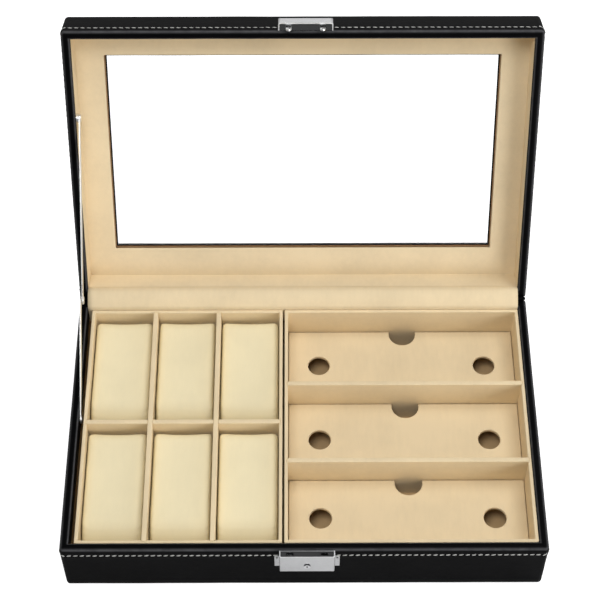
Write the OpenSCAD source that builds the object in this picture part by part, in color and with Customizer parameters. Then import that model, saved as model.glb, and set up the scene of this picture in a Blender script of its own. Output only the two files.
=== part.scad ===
// Hinged watch and glasses box: leather-covered boards, a glazed lid held by a folding stay,
// six watch pillows, three lift-out glasses boards and a surface lock with two hooks.
// Frame: millimetres, +X to the right, +Y to the hinges, +Z up, origin under the middle of the base.
// The lid is drawn open, as it stands on its stay.

/* [Box] */
// Width of the box over the leather
body_w = 335; // [310:1:370]
// Depth of the box over the leather, front to back
body_d = 210; // [196:1:240]
// Height of the base, from the table to its rim
base_h = 52; // [49:1:62]
// Height of the lid, from its rim to its top
lid_h = 31; // [28:1:40]
// Thickness of the wall boards
board_t = 4.5; // [4:0.1:5.5]
// Thickness of the leather
skin_t = 1; // [0.8:0.1:1.3]
// Radius of the padded outer edges
edge_r = 3; // [2.4:0.1:3.4]
// Radius of the rolled inner edge of both rims
bead_r = 2; // [1.5:0.1:2.3]
// Thickness of the base's bottom board
floor_t = 3.5; // [3:0.1:5]
// Thickness of the cloth under the bottom
cover_t = 0.8; // [0.6:0.1:1.2]
// Thickness of the velvet on walls and floor
lining_t = 1; // [0.8:0.1:1.2]
// How far the leather turns in below the base's rim
turn_in = 14; // [10:1:20]
// How far the leather turns under the bottom
turn_under = 16; // [12:1:24]

/* [Lid] */
// Opening angle of the lid on its stay
lid_open = 115; // [112:0.5:118]
// How far the leather turns in below the lid's rim
lid_turn_in = 3.6; // [3:0.1:4.2]
// Gap between the two rims when the lid is shut
rim_gap = 0.4; // [0.3:0.05:0.6]
// Frame width from the box side to the window
window_side = 28; // [25:0.5:36]
// Frame width from the box front to the window
window_front = 28.5; // [26:0.5:36]
// Frame width from the box back to the window
window_back = 30.5; // [26:0.5:38]
// Thickness of the lid's top board
panel_t = 4; // [3.6:0.1:5]
// Thickness of the glass
glass_t = 2; // [1.6:0.1:2.4]
// How far the glass reaches under the window's edge
glass_lap = 6; // [4:0.5:8]
// Thickness of the velvet-covered card inside the lid
card_t = 1.8; // [1.4:0.1:2.4]
// How far the card stays back from the window's edge
card_set = 1.5; // [1:0.1:2.5]
// Radius of the leather at the window's edge
window_r = 1.4; // [1:0.1:1.8]

/* [Hinges] */
// Width of a hinge
hinge_w = 26; // [20:1:32]
// Distance of each hinge from the middle
hinge_x = 95; // [70:1:110]
// Radius of the knuckles
knuckle_r = 1.8; // [1.6:0.05:2]
// Radius of the hinge pins
hinge_pin_r = 0.8; // [0.6:0.05:0.9]
// Distance of the hinge axis behind the back face
hinge_back = 1.3; // [1.2:0.1:1.8]
// Thickness of a hinge leaf
leaf_t = 0.8; // [0.6:0.1:1]
// Reach of a hinge leaf in from the back face
leaf_reach = 5; // [4.4:0.1:5.3]
// Radius of the screws in the leaves
leaf_screw_r = 0.8; // [0.6:0.05:0.9]
// Length of the screws in the leaves
leaf_screw_l = 9; // [6:0.5:12]

/* [Hinge cloth] */
// Thickness of the cloth over the hinge
cloth_t = 0.7; // [0.5:0.1:0.9]
// Height of the cloth glued inside the base
cloth_down = 16; // [10:1:22]
// Height of the cloth glued inside the lid
cloth_up = 4; // [3:0.5:6]
// Rise of the cloth's middle over a straight line between the rims
cloth_crown = 1.6; // [0.8:0.1:2.4]

/* [Trays] */
// Depth of the trays' edges below the rim
tray_drop = 1.5; // [1:0.1:3]
// Thickness of the trays' walls
tray_t = 2.4; // [2:0.1:3.2]
// Thickness of the dividers
divider_t = 3.4; // [2.6:0.1:4]
// Depth of the grooves that hold the dividers
dado = 0.8; // [0.5:0.1:1.2]
// Gap between a tray and the walls of the base
tray_gap = 0.3; // [0.2:0.1:0.5]
// Width of the watch tray
watch_w = 142.4; // [130:0.5:150]
// Gap between the two trays
split_gap = 1.6; // [1:0.1:2.5]

/* [Watch pillows] */
// Height of a pillow
pillow_h = 37; // [30:0.5:41]
// Gap around a pillow
pillow_gap = 0.5; // [0.3:0.1:1]
// Radius of a pillow's ends, seen from the side
pillow_end_r = 15; // [10:0.5:15]
// Radius of a pillow's long edges
pillow_side_r = 12; // [8:0.5:14]
// Radius of a pillow's upright corners
pillow_corner_r = 6; // [4:0.5:8]
// Height to which a pillow lifts out
pillow_lift = 60; // [50:5:100]

/* [Glasses boards] */
// Height of the boards' tops above the table
board_top = 25.5; // [22:0.5:30]
// Thickness of a glasses board
shelf_t = 3; // [2.4:0.1:4]
// Gap around a glasses board
shelf_gap = 0.5; // [0.3:0.1:1]
// Radius of the round holes
hole_r = 8; // [6:0.5:10]
// Distance of the holes from a board's ends
hole_in = 22.5; // [18:0.5:32]
// Distance of the holes in front of a board's middle
hole_front = 0.5; // [0:0.5:3]
// Width of the finger notch
notch_w = 19.6; // [16:0.2:24]
// Depth of the finger notch
notch_d = 12; // [12:0.5:16]
// Distance of the notch to the right of a board's middle
notch_right = 1.5; // [-6:0.5:6]
// Width of the ledges under the boards
cleat_w = 5; // [3:0.5:7]
// Height of the ledges
cleat_h = 4; // [3:0.5:6]

/* [Stay] */
// Thickness of a stay link
link_t = 0.7; // [0.6:0.05:1]
// Width of a stay link
link_w = 6; // [5:0.25:7]
// How much longer the straightened links are than the open lid needs
stay_slack = 0.3; // [0.1:0.05:0.6]
// How much shorter the folded links are than the shut lid leaves
fold_slack = 0.4; // [0.2:0.05:0.8]
// Gap between the links, and between the stay and its walls
link_gap = 0.3; // [0.2:0.05:0.4]
// Radius of the stay's rivets
rivet_r = 1.5; // [1.2:0.05:1.8]
// Radius of the rivets' heads
rivet_head_r = 2.9; // [2.4:0.1:3.2]
// Thickness of the rivets' heads
rivet_head_t = 0.5; // [0.4:0.05:0.8]
// Running clearance of the rivets in the links
rivet_fit = 0.06; // [0.04:0.01:0.09]
// Distance of the wall rivet from the hinge axis, along the rim
stay_wall_reach = 101.5; // [98:0.5:104]
// Distance of the wall rivet below the rim
stay_drop = 7; // [6:0.25:10]
// Distance of the lid rivet from the hinge axis, along the rim
stay_lid_reach = 144; // [138:0.5:150]
// Distance of the lid rivet above the lid's rim
stay_rise = 6.4; // [6.2:0.2:8]

/* [Lock] */
// Distance of the lock to the right of the middle
lock_x = 2; // [-4:0.5:6]
// Width of the lock's cover
lock_w = 38; // [36:0.5:44]
// Height of the lock's cover
lock_h = 21; // [19:0.5:25]
// How far the lock stands out from the leather
lock_out = 5.5; // [5.3:0.1:6.5]
// Thickness of the pressed sheet
sheet_t = 0.8; // [0.6:0.05:0.9]
// Radius of the pressed edges
press_r = 1.2; // [1:0.1:1.4]
// Width of an ear
ear_w = 3.4; // [3:0.1:5]
// Height of an ear
ear_h = 13.5; // [10:0.5:16]
// Radius of the nails' heads
nail_head_r = 0.9; // [0.7:0.05:1.1]
// Radius of the nails
nail_r = 0.5; // [0.4:0.05:0.6]
// Length of the nails
nail_l = 4.5; // [3.5:0.25:5]
// Depth of the key plug below the rim
plug_drop = 12.5; // [12:0.25:14]
// Radius of the key plug
plug_r = 2.3; // [2:0.05:2.6]
// Radius of the collar behind the plug
collar_r = 3.3; // [3:0.1:3.6]
// Running clearance of the plug
plug_fit = 0.06; // [0.04:0.01:0.09]
// Travel of the bolt
bolt_travel = 2.2; // [2:0.05:2.4]
// Thickness of the bolt
bolt_t = 1; // [0.8:0.05:1.1]

/* [Lid hooks] */
// Height of the cover on the lid
hasp_h = 10.5; // [9:0.5:14]
// Distance between the two hooks
hook_pitch = 23.5; // [21:0.5:25]
// Width of a hook
hook_w = 4; // [3.8:0.1:4.4]
// Thickness of a hook
hook_t = 1; // [0.8:0.05:1.1]
// Reach of the hooks below the base's rim
hook_reach = 6.2; // [6:0.1:6.6]

/* [Hidden] */
$fn = 48;

eps = 0.01;
far = 20;

// Box sizes that follow from the boards and the leather
wall = board_t + 2 * skin_t;
in_w = body_w - 2 * wall;
in_d = body_d - 2 * wall;
board_in_w = in_w + 2 * skin_t;
board_in_d = in_d + 2 * skin_t;
front_y = -body_d / 2;
back_y = body_d / 2;
cover_set = 1;
board_z0 = cover_t + skin_t;
floor_z = board_z0 + floor_t;
lining_z = floor_z + lining_t;
rim_z = base_h;
lid_z0 = rim_z + rim_gap;
lid_z1 = lid_z0 + lid_h;

// Window and panel layers of the shut lid, from the top down
board_low_z = lid_z1 - skin_t - panel_t;
card_z = board_low_z - card_t;
window_w = body_w - 2 * window_side;
window_d = body_d - window_front - window_back;
window_y = (window_front - window_back) / 2;

// Hinge axis
axis_y = back_y + hinge_back;
axis_z = rim_z + rim_gap / 2;

// Stay: planes of the links beside the watch tray, from the wall inwards
head_gap = 0.05;
lower_x = -in_w / 2 + link_gap;
wall_head_x = lower_x + link_t + head_gap;
upper_x = wall_head_x + rivet_head_t + link_gap;
lid_head_x = upper_x + link_t + head_gap;
stay_gap = lid_head_x + rivet_head_t + link_gap + in_w / 2;

// Trays
tray_z1 = rim_z - tray_drop;
tray_h = tray_z1 - lining_z;
tray_y0 = -in_d / 2 + tray_gap;
tray_y1 = in_d / 2 - cloth_t - tray_gap;
tray_d = tray_y1 - tray_y0;
watch_x0 = -in_w / 2 + stay_gap;
watch_x1 = watch_x0 + watch_w;
glasses_x0 = watch_x1 + split_gap;
glasses_x1 = in_w / 2 - tray_gap;
watch_columns = 3;
watch_rows = 2;
glasses_rows = 3;
cell_w = (watch_w - 2 * tray_t - (watch_columns - 1) * divider_t) / watch_columns;
cell_d = (tray_d - 2 * tray_t - (watch_rows - 1) * divider_t) / watch_rows;
row_d = (tray_d - 2 * tray_t - (glasses_rows - 1) * divider_t) / glasses_rows;
glasses_in_w = glasses_x1 - glasses_x0 - 2 * tray_t;
glasses_mid_x = (glasses_x0 + glasses_x1) / 2;
lap_gap = 0.1;
rest_gap = 0.3;

function cell_x(column) = watch_x0 + tray_t + column * (cell_w + divider_t) + cell_w / 2;
function cell_y(row) = tray_y1 - tray_t - row * (cell_d + divider_t) - cell_d / 2;
function row_y(row) = tray_y1 - tray_t - row * (row_d + divider_t) - row_d / 2;
function watch_divider_x(index) = cell_x(index) + (cell_w + divider_t) / 2;
function glasses_divider_y(index) = row_y(index) - (row_d + divider_t) / 2;
cross_y = cell_y(0) - (cell_d + divider_t) / 2;

// Stay: pivots in the side view [y, z]
wall_pivot = [axis_y - stay_wall_reach, rim_z - stay_drop];
lid_pivot_shut = [axis_y - stay_lid_reach, lid_z0 + stay_rise];
function turned(point, angle) = [
    axis_y + (point[0] - axis_y) * cos(angle) - (point[1] - axis_z) * sin(angle),
    axis_z + (point[0] - axis_y) * sin(angle) + (point[1] - axis_z) * cos(angle)
];
lid_pivot = turned(lid_pivot_shut, -lid_open);
// The links are nearly straight when the lid is open and lie over each other when it is shut
span = norm(lid_pivot - wall_pivot);
shut_span = norm(lid_pivot_shut - wall_pivot);
lower_l = (span + stay_slack - shut_span + fold_slack) / 2;
upper_l = (span + stay_slack + shut_span - fold_slack) / 2;
span_angle = atan2(lid_pivot[1] - wall_pivot[1], lid_pivot[0] - wall_pivot[0]);
knee_cos = (lower_l * lower_l + span * span - upper_l * upper_l) / (2 * lower_l * span);
lower_angle = span_angle - acos(knee_cos);
middle_pivot = wall_pivot + lower_l * [cos(lower_angle), sin(lower_angle)];
upper_angle = atan2(middle_pivot[1] - lid_pivot[1], middle_pivot[0] - lid_pivot[0]);

// Hinges
knuckles = 5;
knuckle_gap = 0.15;
knuckle_room = 0.35;
knuckle_l = hinge_w / knuckles;
pin_fit = 0.05;
leaf_screw_x = hinge_w / 4;
leaf_screw_y = back_y - leaf_reach / 2 - 0.3;

// Cloth over the hinge
cloth_w = in_w - 2 * tray_gap;
cloth_base_edge = [in_d / 2 - cloth_t, rim_z];
cloth_lid_edge = turned([in_d / 2 - cloth_t, lid_z0], -lid_open);
cloth_steps = 10;

// Nails and rivets
ear_nail_z = rim_z - lock_h + ear_h - 1.7;
ear_nail_x = (lock_w + ear_w) / 2;
hasp_nail_z = lid_z0 + 5.5;
hasp_nail_x = 10;
dome_h = 0.4;
shank_in = 2;
boss_gap = 0.1;
shank_x = -in_w / 2 - skin_t - shank_in;

// Lock
lock_y0 = front_y - lock_out;
inset = 0.3;
plate_gap = 0.05;
plate_w = lock_w - 2 * sheet_t - 2 * plate_gap;
plate_y0 = lock_y0 + sheet_t + plate_gap;
press_in_r = press_r - sheet_t / 2;
plug_z = rim_z - plug_drop;
plug_out = 0.7;
collar_t = 0.8;
collar_y = lock_y0 + sheet_t + 0.1;
key_hole_r = 0.7;
key_slot_w = 0.6;
key_slot_h = 1.6;
key_depth = 1.2;
hook_y = front_y - 2.6;
slot_gap = 0.5;
notch_low = 4.5;
notch_high = 2.7;
toe_gap = 0.3;
toe_clear = 0.6;
toe_l = 1.1;
post_w = 1.5;
bar_high = hook_reach + 0.6;
bar_h = 3.6;
bar_low = bar_high + bar_h;
bar_end = 5;
guide_x = 7;
guide_r = 0.8;
guide_gap = 0.1;
guide_out = 0.4;
cam_r = bolt_travel / sqrt(2);
cam_x = cam_r / sqrt(2);
cam_pin_r = 0.5;
cam_gap = 0.16;
cam_arm_w = 3.6;
cam_arm_low = plug_drop + 0.4;

leather = "#17171a";
velvet = "#e5cfa4";
pillow_velvet = "#e8dab2";
fibreboard = "#a9835a";
chrome = "#c9ccd0";
steel = "#9a9ca0";

// ---- shared shapes ----

// A rectangle with round corners, centred
module round_rect(w, d, r) {
    square([w - 2 * r, d], center = true);
    square([w, d - 2 * r], center = true);
    for (x = [-1, 1], y = [-1, 1])
        translate([x * (w / 2 - r), y * (d / 2 - r)]) circle(r);
}

// A block with every edge rounded, from z0 to z1
module soft_block(w, d, z0, z1, r) {
    h = z1 - z0;
    translate([0, 0, (z0 + z1) / 2]) intersection() {
        linear_extrude(h, center = true) round_rect(w, d, r);
        rotate([90, 0, 0]) linear_extrude(d, center = true) round_rect(w, h, r);
        rotate([90, 0, 90]) linear_extrude(w, center = true) round_rect(d, h, r);
    }
}

// A centred block from z0 to z1
module block(w, d, z0, z1) {
    translate([-w / 2, -d / 2, z0]) cube([w, d, z1 - z0]);
}

// A rod along X, centred
module rod_x(r, length) {
    rotate([0, 90, 0]) cylinder(h = length, r = r, center = true);
}

// A rod along Y, centred
module rod_y(r, length) {
    rotate([90, 0, 0]) cylinder(h = length, r = r, center = true);
}

// Four rods on the edges of a w by d opening, at height z
module edge_rods(w, d, z, r) {
    for (side = [-1, 1]) {
        translate([0, side * d / 2, z]) rod_x(r, w);
        translate([side * w / 2, 0, z]) rod_y(r, d);
    }
}

// Moves what is drawn for the shut lid to where the open lid stands
module on_lid() {
    translate([0, axis_y, axis_z]) rotate([-lid_open, 0, 0]) translate([0, -axis_y, -axis_z]) children();
}

// ---- base ----

module base_board_solid() {
    difference() {
        soft_block(body_w - 2 * skin_t, body_d - 2 * skin_t, board_z0, rim_z - skin_t, edge_r - skin_t);
        block(board_in_w, board_in_d, floor_z, rim_z + far);
    }
}

// The base as its leather shows it, with a rolled inner edge
module base_form() {
    difference() {
        soft_block(body_w, body_d, cover_t, rim_z, edge_r);
        block(in_w, in_d, floor_z, rim_z);
        block(in_w + 2 * bead_r, in_d + 2 * bead_r, rim_z - bead_r, rim_z + far);
    }
    edge_rods(in_w + 2 * bead_r, in_d + 2 * bead_r, rim_z - bead_r, bead_r);
}

module base_cuts() {
    base_leaf_recess();
    base_screw_holes();
    lock_nail_bodies();
    stay_wall_shank();
}

module bottom_cover() {
    color("#2a2522") {
        block(body_w - 2 * edge_r - 2 * cover_set, body_d - 2 * edge_r - 2 * cover_set, 0, cover_t);
        block(body_w - 2 * turn_under, body_d - 2 * turn_under, 0, board_z0);
    }
}

module base_board() {
    color(fibreboard) difference() {
        base_board_solid();
        base_cuts();
    }
}

module base_leather() {
    color(leather) difference() {
        base_form();
        base_board_solid();
        block(board_in_w, board_in_d, floor_z - eps, rim_z - turn_in);
        block(body_w - 2 * turn_under, body_d - 2 * turn_under, 0, board_z0 + eps);
        base_cuts();
    }
}

module base_lining() {
    color(velvet) difference() {
        block(board_in_w, board_in_d, floor_z, rim_z - turn_in);
        block(in_w, in_d, lining_z, rim_z);
    }
}

// ---- trays ----

module tray_frame(x0, x1) {
    translate([(x0 + x1) / 2, (tray_y0 + tray_y1) / 2, 0]) difference() {
        block(x1 - x0, tray_d, lining_z, tray_z1);
        block(x1 - x0 - 2 * tray_t, tray_d - 2 * tray_t, lining_z - eps, tray_z1 + eps);
    }
}

module watch_tray() {
    color(velvet) difference() {
        tray_frame(watch_x0, watch_x1);
        translate([(watch_x0 + watch_x1) / 2, cross_y, 0])
            block(watch_w - 2 * (tray_t - dado), divider_t, lining_z - eps, tray_z1 + eps);
        for (index = [0, 1])
            translate([watch_divider_x(index), (tray_y0 + tray_y1) / 2, 0])
                block(divider_t, tray_d - 2 * (tray_t - dado), lining_z - eps, tray_z1 + eps);
    }
}

// The long divider is slotted from above where the short ones cross it
module watch_divider_cross() {
    color(velvet) difference() {
        translate([(watch_x0 + watch_x1) / 2, cross_y, 0])
            block(watch_w - 2 * (tray_t - dado), divider_t, lining_z, tray_z1);
        for (index = [0, 1])
            translate([watch_divider_x(index), cross_y, 0])
                block(divider_t + 2 * lap_gap, divider_t + 1, lining_z + tray_h / 2, tray_z1 + 1);
    }
}

module watch_divider(index) {
    color(velvet) difference() {
        translate([watch_divider_x(index), (tray_y0 + tray_y1) / 2, 0])
            block(divider_t, tray_d - 2 * (tray_t - dado), lining_z, tray_z1);
        translate([watch_divider_x(index), cross_y, 0])
            block(divider_t + 1, divider_t + 2 * lap_gap, lining_z - 1, lining_z + tray_h / 2);
    }
}

module pillow(index) {
    w = cell_w - 2 * pillow_gap;
    d = cell_d - 2 * pillow_gap;
    column = (index - 1) % watch_columns;
    row = floor((index - 1) / watch_columns);
    color(pillow_velvet) translate([cell_x(column), cell_y(row), lining_z + rest_gap + pillow_h / 2]) intersection() {
        linear_extrude(pillow_h, center = true) round_rect(w, d, pillow_corner_r);
        rotate([90, 0, 0]) linear_extrude(d, center = true) round_rect(w, pillow_h, pillow_side_r);
        rotate([90, 0, 90]) linear_extrude(w, center = true) round_rect(d, pillow_h, pillow_end_r);
    }
}

module glasses_tray() {
    color(velvet) difference() {
        tray_frame(glasses_x0, glasses_x1);
        for (index = [0, 1])
            translate([glasses_mid_x, glasses_divider_y(index), 0])
                block(glasses_in_w + 2 * dado, divider_t, lining_z - eps, tray_z1 + eps);
    }
}

module glasses_divider(index) {
    color(velvet) translate([glasses_mid_x, glasses_divider_y(index), 0])
        block(glasses_in_w + 2 * dado, divider_t, lining_z, tray_z1);
}

// Ledges on the side walls, two to a compartment
module glasses_ledges() {
    color(velvet) for (row = [0:glasses_rows - 1], side = [-1, 1])
        translate([glasses_mid_x + side * (glasses_in_w - cleat_w) / 2, row_y(row), 0])
            block(cleat_w, row_d, board_top - shelf_t - cleat_h, board_top - shelf_t);
}

module glasses_board(row) {
    w = glasses_in_w - 2 * shelf_gap;
    d = row_d - 2 * shelf_gap;
    notch_x = notch_right;
    color(velvet) translate([glasses_mid_x, row_y(row), board_top - shelf_t]) linear_extrude(shelf_t) difference() {
        square([w, d], center = true);
        for (side = [-1, 1])
            translate([side * (w / 2 - hole_in), -hole_front]) circle(hole_r);
        translate([notch_x, d / 2 - notch_d + notch_w / 2]) circle(notch_w / 2);
        translate([notch_x - notch_w / 2, d / 2 - notch_d + notch_w / 2]) square([notch_w, notch_d]);
    }
}

// ---- lid ----

module lid_board_solid() {
    difference() {
        soft_block(body_w - 2 * skin_t, body_d - 2 * skin_t, lid_z0 + skin_t, lid_z1 - skin_t, edge_r - skin_t);
        block(board_in_w, board_in_d, lid_z0, board_low_z);
        translate([0, window_y, 0]) {
            block(window_w + 2 * skin_t, window_d + 2 * skin_t, lid_z0, lid_z1);
            block(window_w + 2 * glass_lap, window_d + 2 * glass_lap, board_low_z - eps, board_low_z + glass_t);
        }
    }
}

// The lid as its leather shows it, with rolled edges at the rim and around the window
module lid_form() {
    difference() {
        soft_block(body_w, body_d, lid_z0, lid_z1, edge_r);
        block(in_w, in_d, lid_z0 + bead_r - eps, board_low_z);
        block(in_w + 2 * bead_r, in_d + 2 * bead_r, lid_z0 - far, lid_z0 + bead_r);
        translate([0, window_y, 0]) {
            block(window_w, window_d, lid_z0, lid_z1 - window_r + eps);
            block(window_w + 2 * window_r, window_d + 2 * window_r, lid_z1 - window_r, lid_z1 + far);
        }
    }
    edge_rods(in_w + 2 * bead_r, in_d + 2 * bead_r, lid_z0 + bead_r, bead_r);
    translate([0, window_y, 0])
        edge_rods(window_w + 2 * window_r, window_d + 2 * window_r, lid_z1 - window_r, window_r);
}

module lid_cuts() {
    lid_leaf_recess();
    lid_screw_holes();
    hasp_nail_bodies();
    stay_lid_shank();
}

module lid_board() {
    color(fibreboard) on_lid() difference() {
        lid_board_solid();
        lid_cuts();
    }
}

module lid_leather() {
    color(leather) on_lid() difference() {
        lid_form();
        lid_board_solid();
        block(board_in_w, board_in_d, lid_z0 + lid_turn_in, board_low_z + eps);
        translate([0, window_y, 0])
            block(window_w + 2 * glass_lap, window_d + 2 * glass_lap, board_low_z - eps, board_low_z + glass_t);
        lid_cuts();
    }
}

module lid_lining() {
    color(velvet) on_lid() difference() {
        block(board_in_w, board_in_d, lid_z0 + lid_turn_in, card_z);
        block(in_w, in_d, lid_z0, lid_z1);
        stay_lid_shank();
    }
}

module lid_card() {
    color(velvet) on_lid() difference() {
        block(board_in_w, board_in_d, card_z, board_low_z);
        translate([0, window_y, 0])
            block(window_w + 2 * card_set, window_d + 2 * card_set, card_z - eps, board_low_z + eps);
    }
}

module lid_glass() {
    color([0.8, 0.88, 0.9, 0.3]) on_lid() translate([0, window_y, 0])
        block(window_w + 2 * glass_lap, window_d + 2 * glass_lap, board_low_z, board_low_z + glass_t);
}

// ---- hinges ----

// One leaf at height z0, with its share of the knuckles
module hinge_leaf(z0, first) {
    difference() {
        union() {
            translate([-hinge_w / 2, back_y - leaf_reach, z0]) cube([hinge_w, leaf_reach + hinge_back, leaf_t]);
            translate([0, axis_y, axis_z]) rod_x(knuckle_r, hinge_w);
        }
        translate([0, axis_y, axis_z]) rod_x(hinge_pin_r, hinge_w + 2);
        for (index = [0:knuckles - 1])
            if (index % 2 != first)
                translate([(index - (knuckles - 1) / 2) * knuckle_l, axis_y, axis_z])
                    cube([knuckle_l + 2 * knuckle_gap, 2 * (knuckle_r + knuckle_room), 2 * knuckle_r + 2], center = true);
        for (side = [-1, 1])
            translate([side * leaf_screw_x, leaf_screw_y, z0 - 1]) cylinder(h = leaf_t + 2, r = leaf_screw_r);
    }
}

module at_hinges() {
    for (side = [-1, 1])
        translate([side * hinge_x, 0, 0]) children();
}

module leaf_recess(z0, z1) {
    at_hinges() translate([-hinge_w / 2, back_y - leaf_reach, z0]) cube([hinge_w, leaf_reach + far, z1 - z0]);
}

module base_leaf_recess() {
    leaf_recess(rim_z - leaf_t, rim_z + far);
}

module lid_leaf_recess() {
    leaf_recess(lid_z0 - far, lid_z0 + leaf_t);
}

module base_screw_holes() {
    base_screw_bodies();
}

module lid_screw_holes() {
    lid_screw_bodies();
}

module screws_at(z0) {
    at_hinges() for (side = [-1, 1])
        translate([side * leaf_screw_x, leaf_screw_y, z0]) cylinder(h = leaf_screw_l, r = leaf_screw_r);
}

module base_screw_bodies() {
    screws_at(rim_z - leaf_screw_l);
}

module lid_screw_bodies() {
    screws_at(lid_z0);
}

module base_hinge_leaves() {
    color(steel) at_hinges() hinge_leaf(rim_z - leaf_t, 0);
}

module lid_hinge_leaves() {
    color(steel) on_lid() at_hinges() hinge_leaf(lid_z0, 1);
}

module hinge_pins() {
    color(chrome) at_hinges() translate([0, axis_y, axis_z]) rod_x(hinge_pin_r - pin_fit, hinge_w);
}

module base_hinge_screws() {
    color(steel) base_screw_bodies();
}

module lid_hinge_screws() {
    color(steel) on_lid() lid_screw_bodies();
}

// ---- cloth over the hinge ----

module cloth_base_flap() {
    color(velvet) translate([-cloth_w / 2, in_d / 2 - cloth_t, rim_z - cloth_down])
        cube([cloth_w, cloth_t, cloth_down]);
}

module cloth_lid_flap() {
    color(velvet) on_lid() translate([-cloth_w / 2, in_d / 2 - cloth_t, lid_z0])
        cube([cloth_w, cloth_t, cloth_up]);
}

// A shallow arch between the two rims, drawn as it lies with the lid open
function cloth_line(out) = [
    for (step = [0:cloth_steps])
        let (
            share = step / cloth_steps,
            chord = cloth_lid_edge - cloth_base_edge,
            up = [-chord[1], chord[0]] / norm(chord)
        )
        cloth_base_edge + share * chord + (4 * cloth_crown * share * (1 - share) + out) * up
];

module hinge_cloth_fold() {
    below = cloth_line(0);
    above = cloth_line(cloth_t);
    count = cloth_steps + 1;
    color(velvet) rotate([90, 0, 90]) linear_extrude(cloth_w, center = true)
        polygon(concat(below, [for (step = [1:count]) above[count - step]]));
}

// ---- stay ----

// Places a link's own drawing, pivot to pivot along +X, in the side view
module link_at(x, pivot, angle) {
    translate([x, pivot[0], pivot[1]]) rotate([90, 0, 90]) rotate(angle) children();
}

module link_outline(length) {
    circle(link_w / 2);
    translate([length, 0]) circle(link_w / 2);
    translate([0, -link_w / 2]) square([length, link_w]);
}

module stay_wall_shank() {
    translate([shank_x, wall_pivot[0], wall_pivot[1]])
        rotate([0, 90, 0]) cylinder(h = wall_head_x + rivet_head_t - shank_x, r = rivet_r);
}

module stay_wall_rivet() {
    color(chrome) {
        stay_wall_shank();
        translate([wall_head_x, wall_pivot[0], wall_pivot[1]])
            rotate([0, 90, 0]) cylinder(h = rivet_head_t, r = rivet_head_r);
    }
}

module stay_lower_link() {
    color(chrome) link_at(lower_x, wall_pivot, lower_angle) linear_extrude(link_t) difference() {
        link_outline(lower_l);
        circle(rivet_r + rivet_fit);
    }
}

module stay_upper_link() {
    color(chrome) link_at(upper_x, lid_pivot, upper_angle) linear_extrude(link_t) difference() {
        link_outline(upper_l);
        circle(rivet_r + rivet_fit);
    }
}

// The round head over the middle pivot, fixed to the upper link
module stay_middle_rivet() {
    color(chrome) link_at(upper_x + link_t, middle_pivot, 0) cylinder(h = rivet_head_t, r = rivet_head_r);
}

module stay_lid_shank() {
    translate([shank_x, lid_pivot_shut[0], lid_pivot_shut[1]])
        rotate([0, 90, 0]) cylinder(h = lid_head_x + rivet_head_t - shank_x, r = rivet_r);
}

module stay_lid_rivet() {
    color(chrome) on_lid() {
        stay_lid_shank();
        translate([-in_w / 2, lid_pivot_shut[0], lid_pivot_shut[1]])
            rotate([0, 90, 0]) cylinder(h = upper_x - boss_gap + in_w / 2, r = rivet_head_r);
        translate([lid_head_x, lid_pivot_shut[0], lid_pivot_shut[1]])
            rotate([0, 90, 0]) cylinder(h = rivet_head_t, r = rivet_head_r);
    }
}

// ---- lock on the base ----

module lock_nail_at(side) {
    translate([lock_x + side * ear_nail_x, front_y, ear_nail_z]) rotate([-90, 0, 0])
        cylinder(h = nail_l, r = nail_r);
}

module lock_nail_bodies() {
    for (side = [-1, 1])
        lock_nail_at(side);
}

module lock_nails() {
    color(steel) for (side = [-1, 1]) {
        lock_nail_at(side);
        translate([lock_x + side * ear_nail_x, front_y - sheet_t, ear_nail_z]) {
            rotate([-90, 0, 0]) cylinder(h = sheet_t, r = nail_r);
            nail_dome();
        }
    }
}

// A low dome that faces the front
module nail_dome() {
    sphere_r = (nail_head_r * nail_head_r + dome_h * dome_h) / (2 * dome_h);
    intersection() {
        translate([0, sphere_r - dome_h, 0]) sphere(sphere_r);
        translate([0, -dome_h, 0]) rotate([-90, 0, 0]) cylinder(h = dome_h, r = nail_head_r);
    }
}

// A plate that fits inside a cover, seen from above, round where the cover's front edges are
module plate_outline() {
    depth = front_y - plate_y0;
    translate([lock_x, front_y]) intersection() {
        round_rect(plate_w, 2 * depth, press_in_r);
        translate([-plate_w / 2, -depth]) square([plate_w, depth]);
    }
}

// A plate that closes a cover at the back, seen from the front, from height 0 up, round at the corners below
module back_outline(h) {
    translate([0, h]) intersection() {
        round_rect(plate_w, 2 * h, press_in_r);
        translate([-plate_w / 2, -h]) square([plate_w, h]);
    }
}

// A pressed cover with round front edges, open at the back
module pressed_shell(w, z0, z1) {
    depth = lock_out + far;
    translate([lock_x, lock_y0 + depth / 2, 0]) difference() {
        soft_block(w, depth, z0, z1, press_r);
        translate([0, sheet_t, 0])
            soft_block(w - 2 * sheet_t, depth, z0 + sheet_t, z1 - sheet_t, press_in_r);
    }
}

module lock_cover() {
    z0 = rim_z - lock_h;
    color(chrome) difference() {
        union() {
            intersection() {
                pressed_shell(lock_w, z0, rim_z + far);
                translate([lock_x - lock_w, lock_y0, z0]) cube([2 * lock_w, lock_out, lock_h]);
            }
            for (side = [-1, 1])
                translate([lock_x + side * ear_nail_x - ear_w / 2, front_y - sheet_t, z0])
                    cube([ear_w, sheet_t, ear_h]);
        }
        for (side = [-1, 1])
            translate([lock_x + side * ear_nail_x, front_y, ear_nail_z]) rod_y(nail_r, far);
        translate([lock_x, lock_y0, plug_z]) rod_y(plug_r + plug_fit, 4 * sheet_t);
    }
}

module lock_top_plate() {
    color(steel) difference() {
        translate([0, 0, rim_z - inset - sheet_t]) linear_extrude(sheet_t) plate_outline();
        for (side = [-1, 1])
            translate([lock_x + side * hook_pitch / 2, hook_y, rim_z])
                cube([hook_w + 2 * slot_gap, hook_t + 2 * slot_gap, 4], center = true);
    }
}

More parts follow.
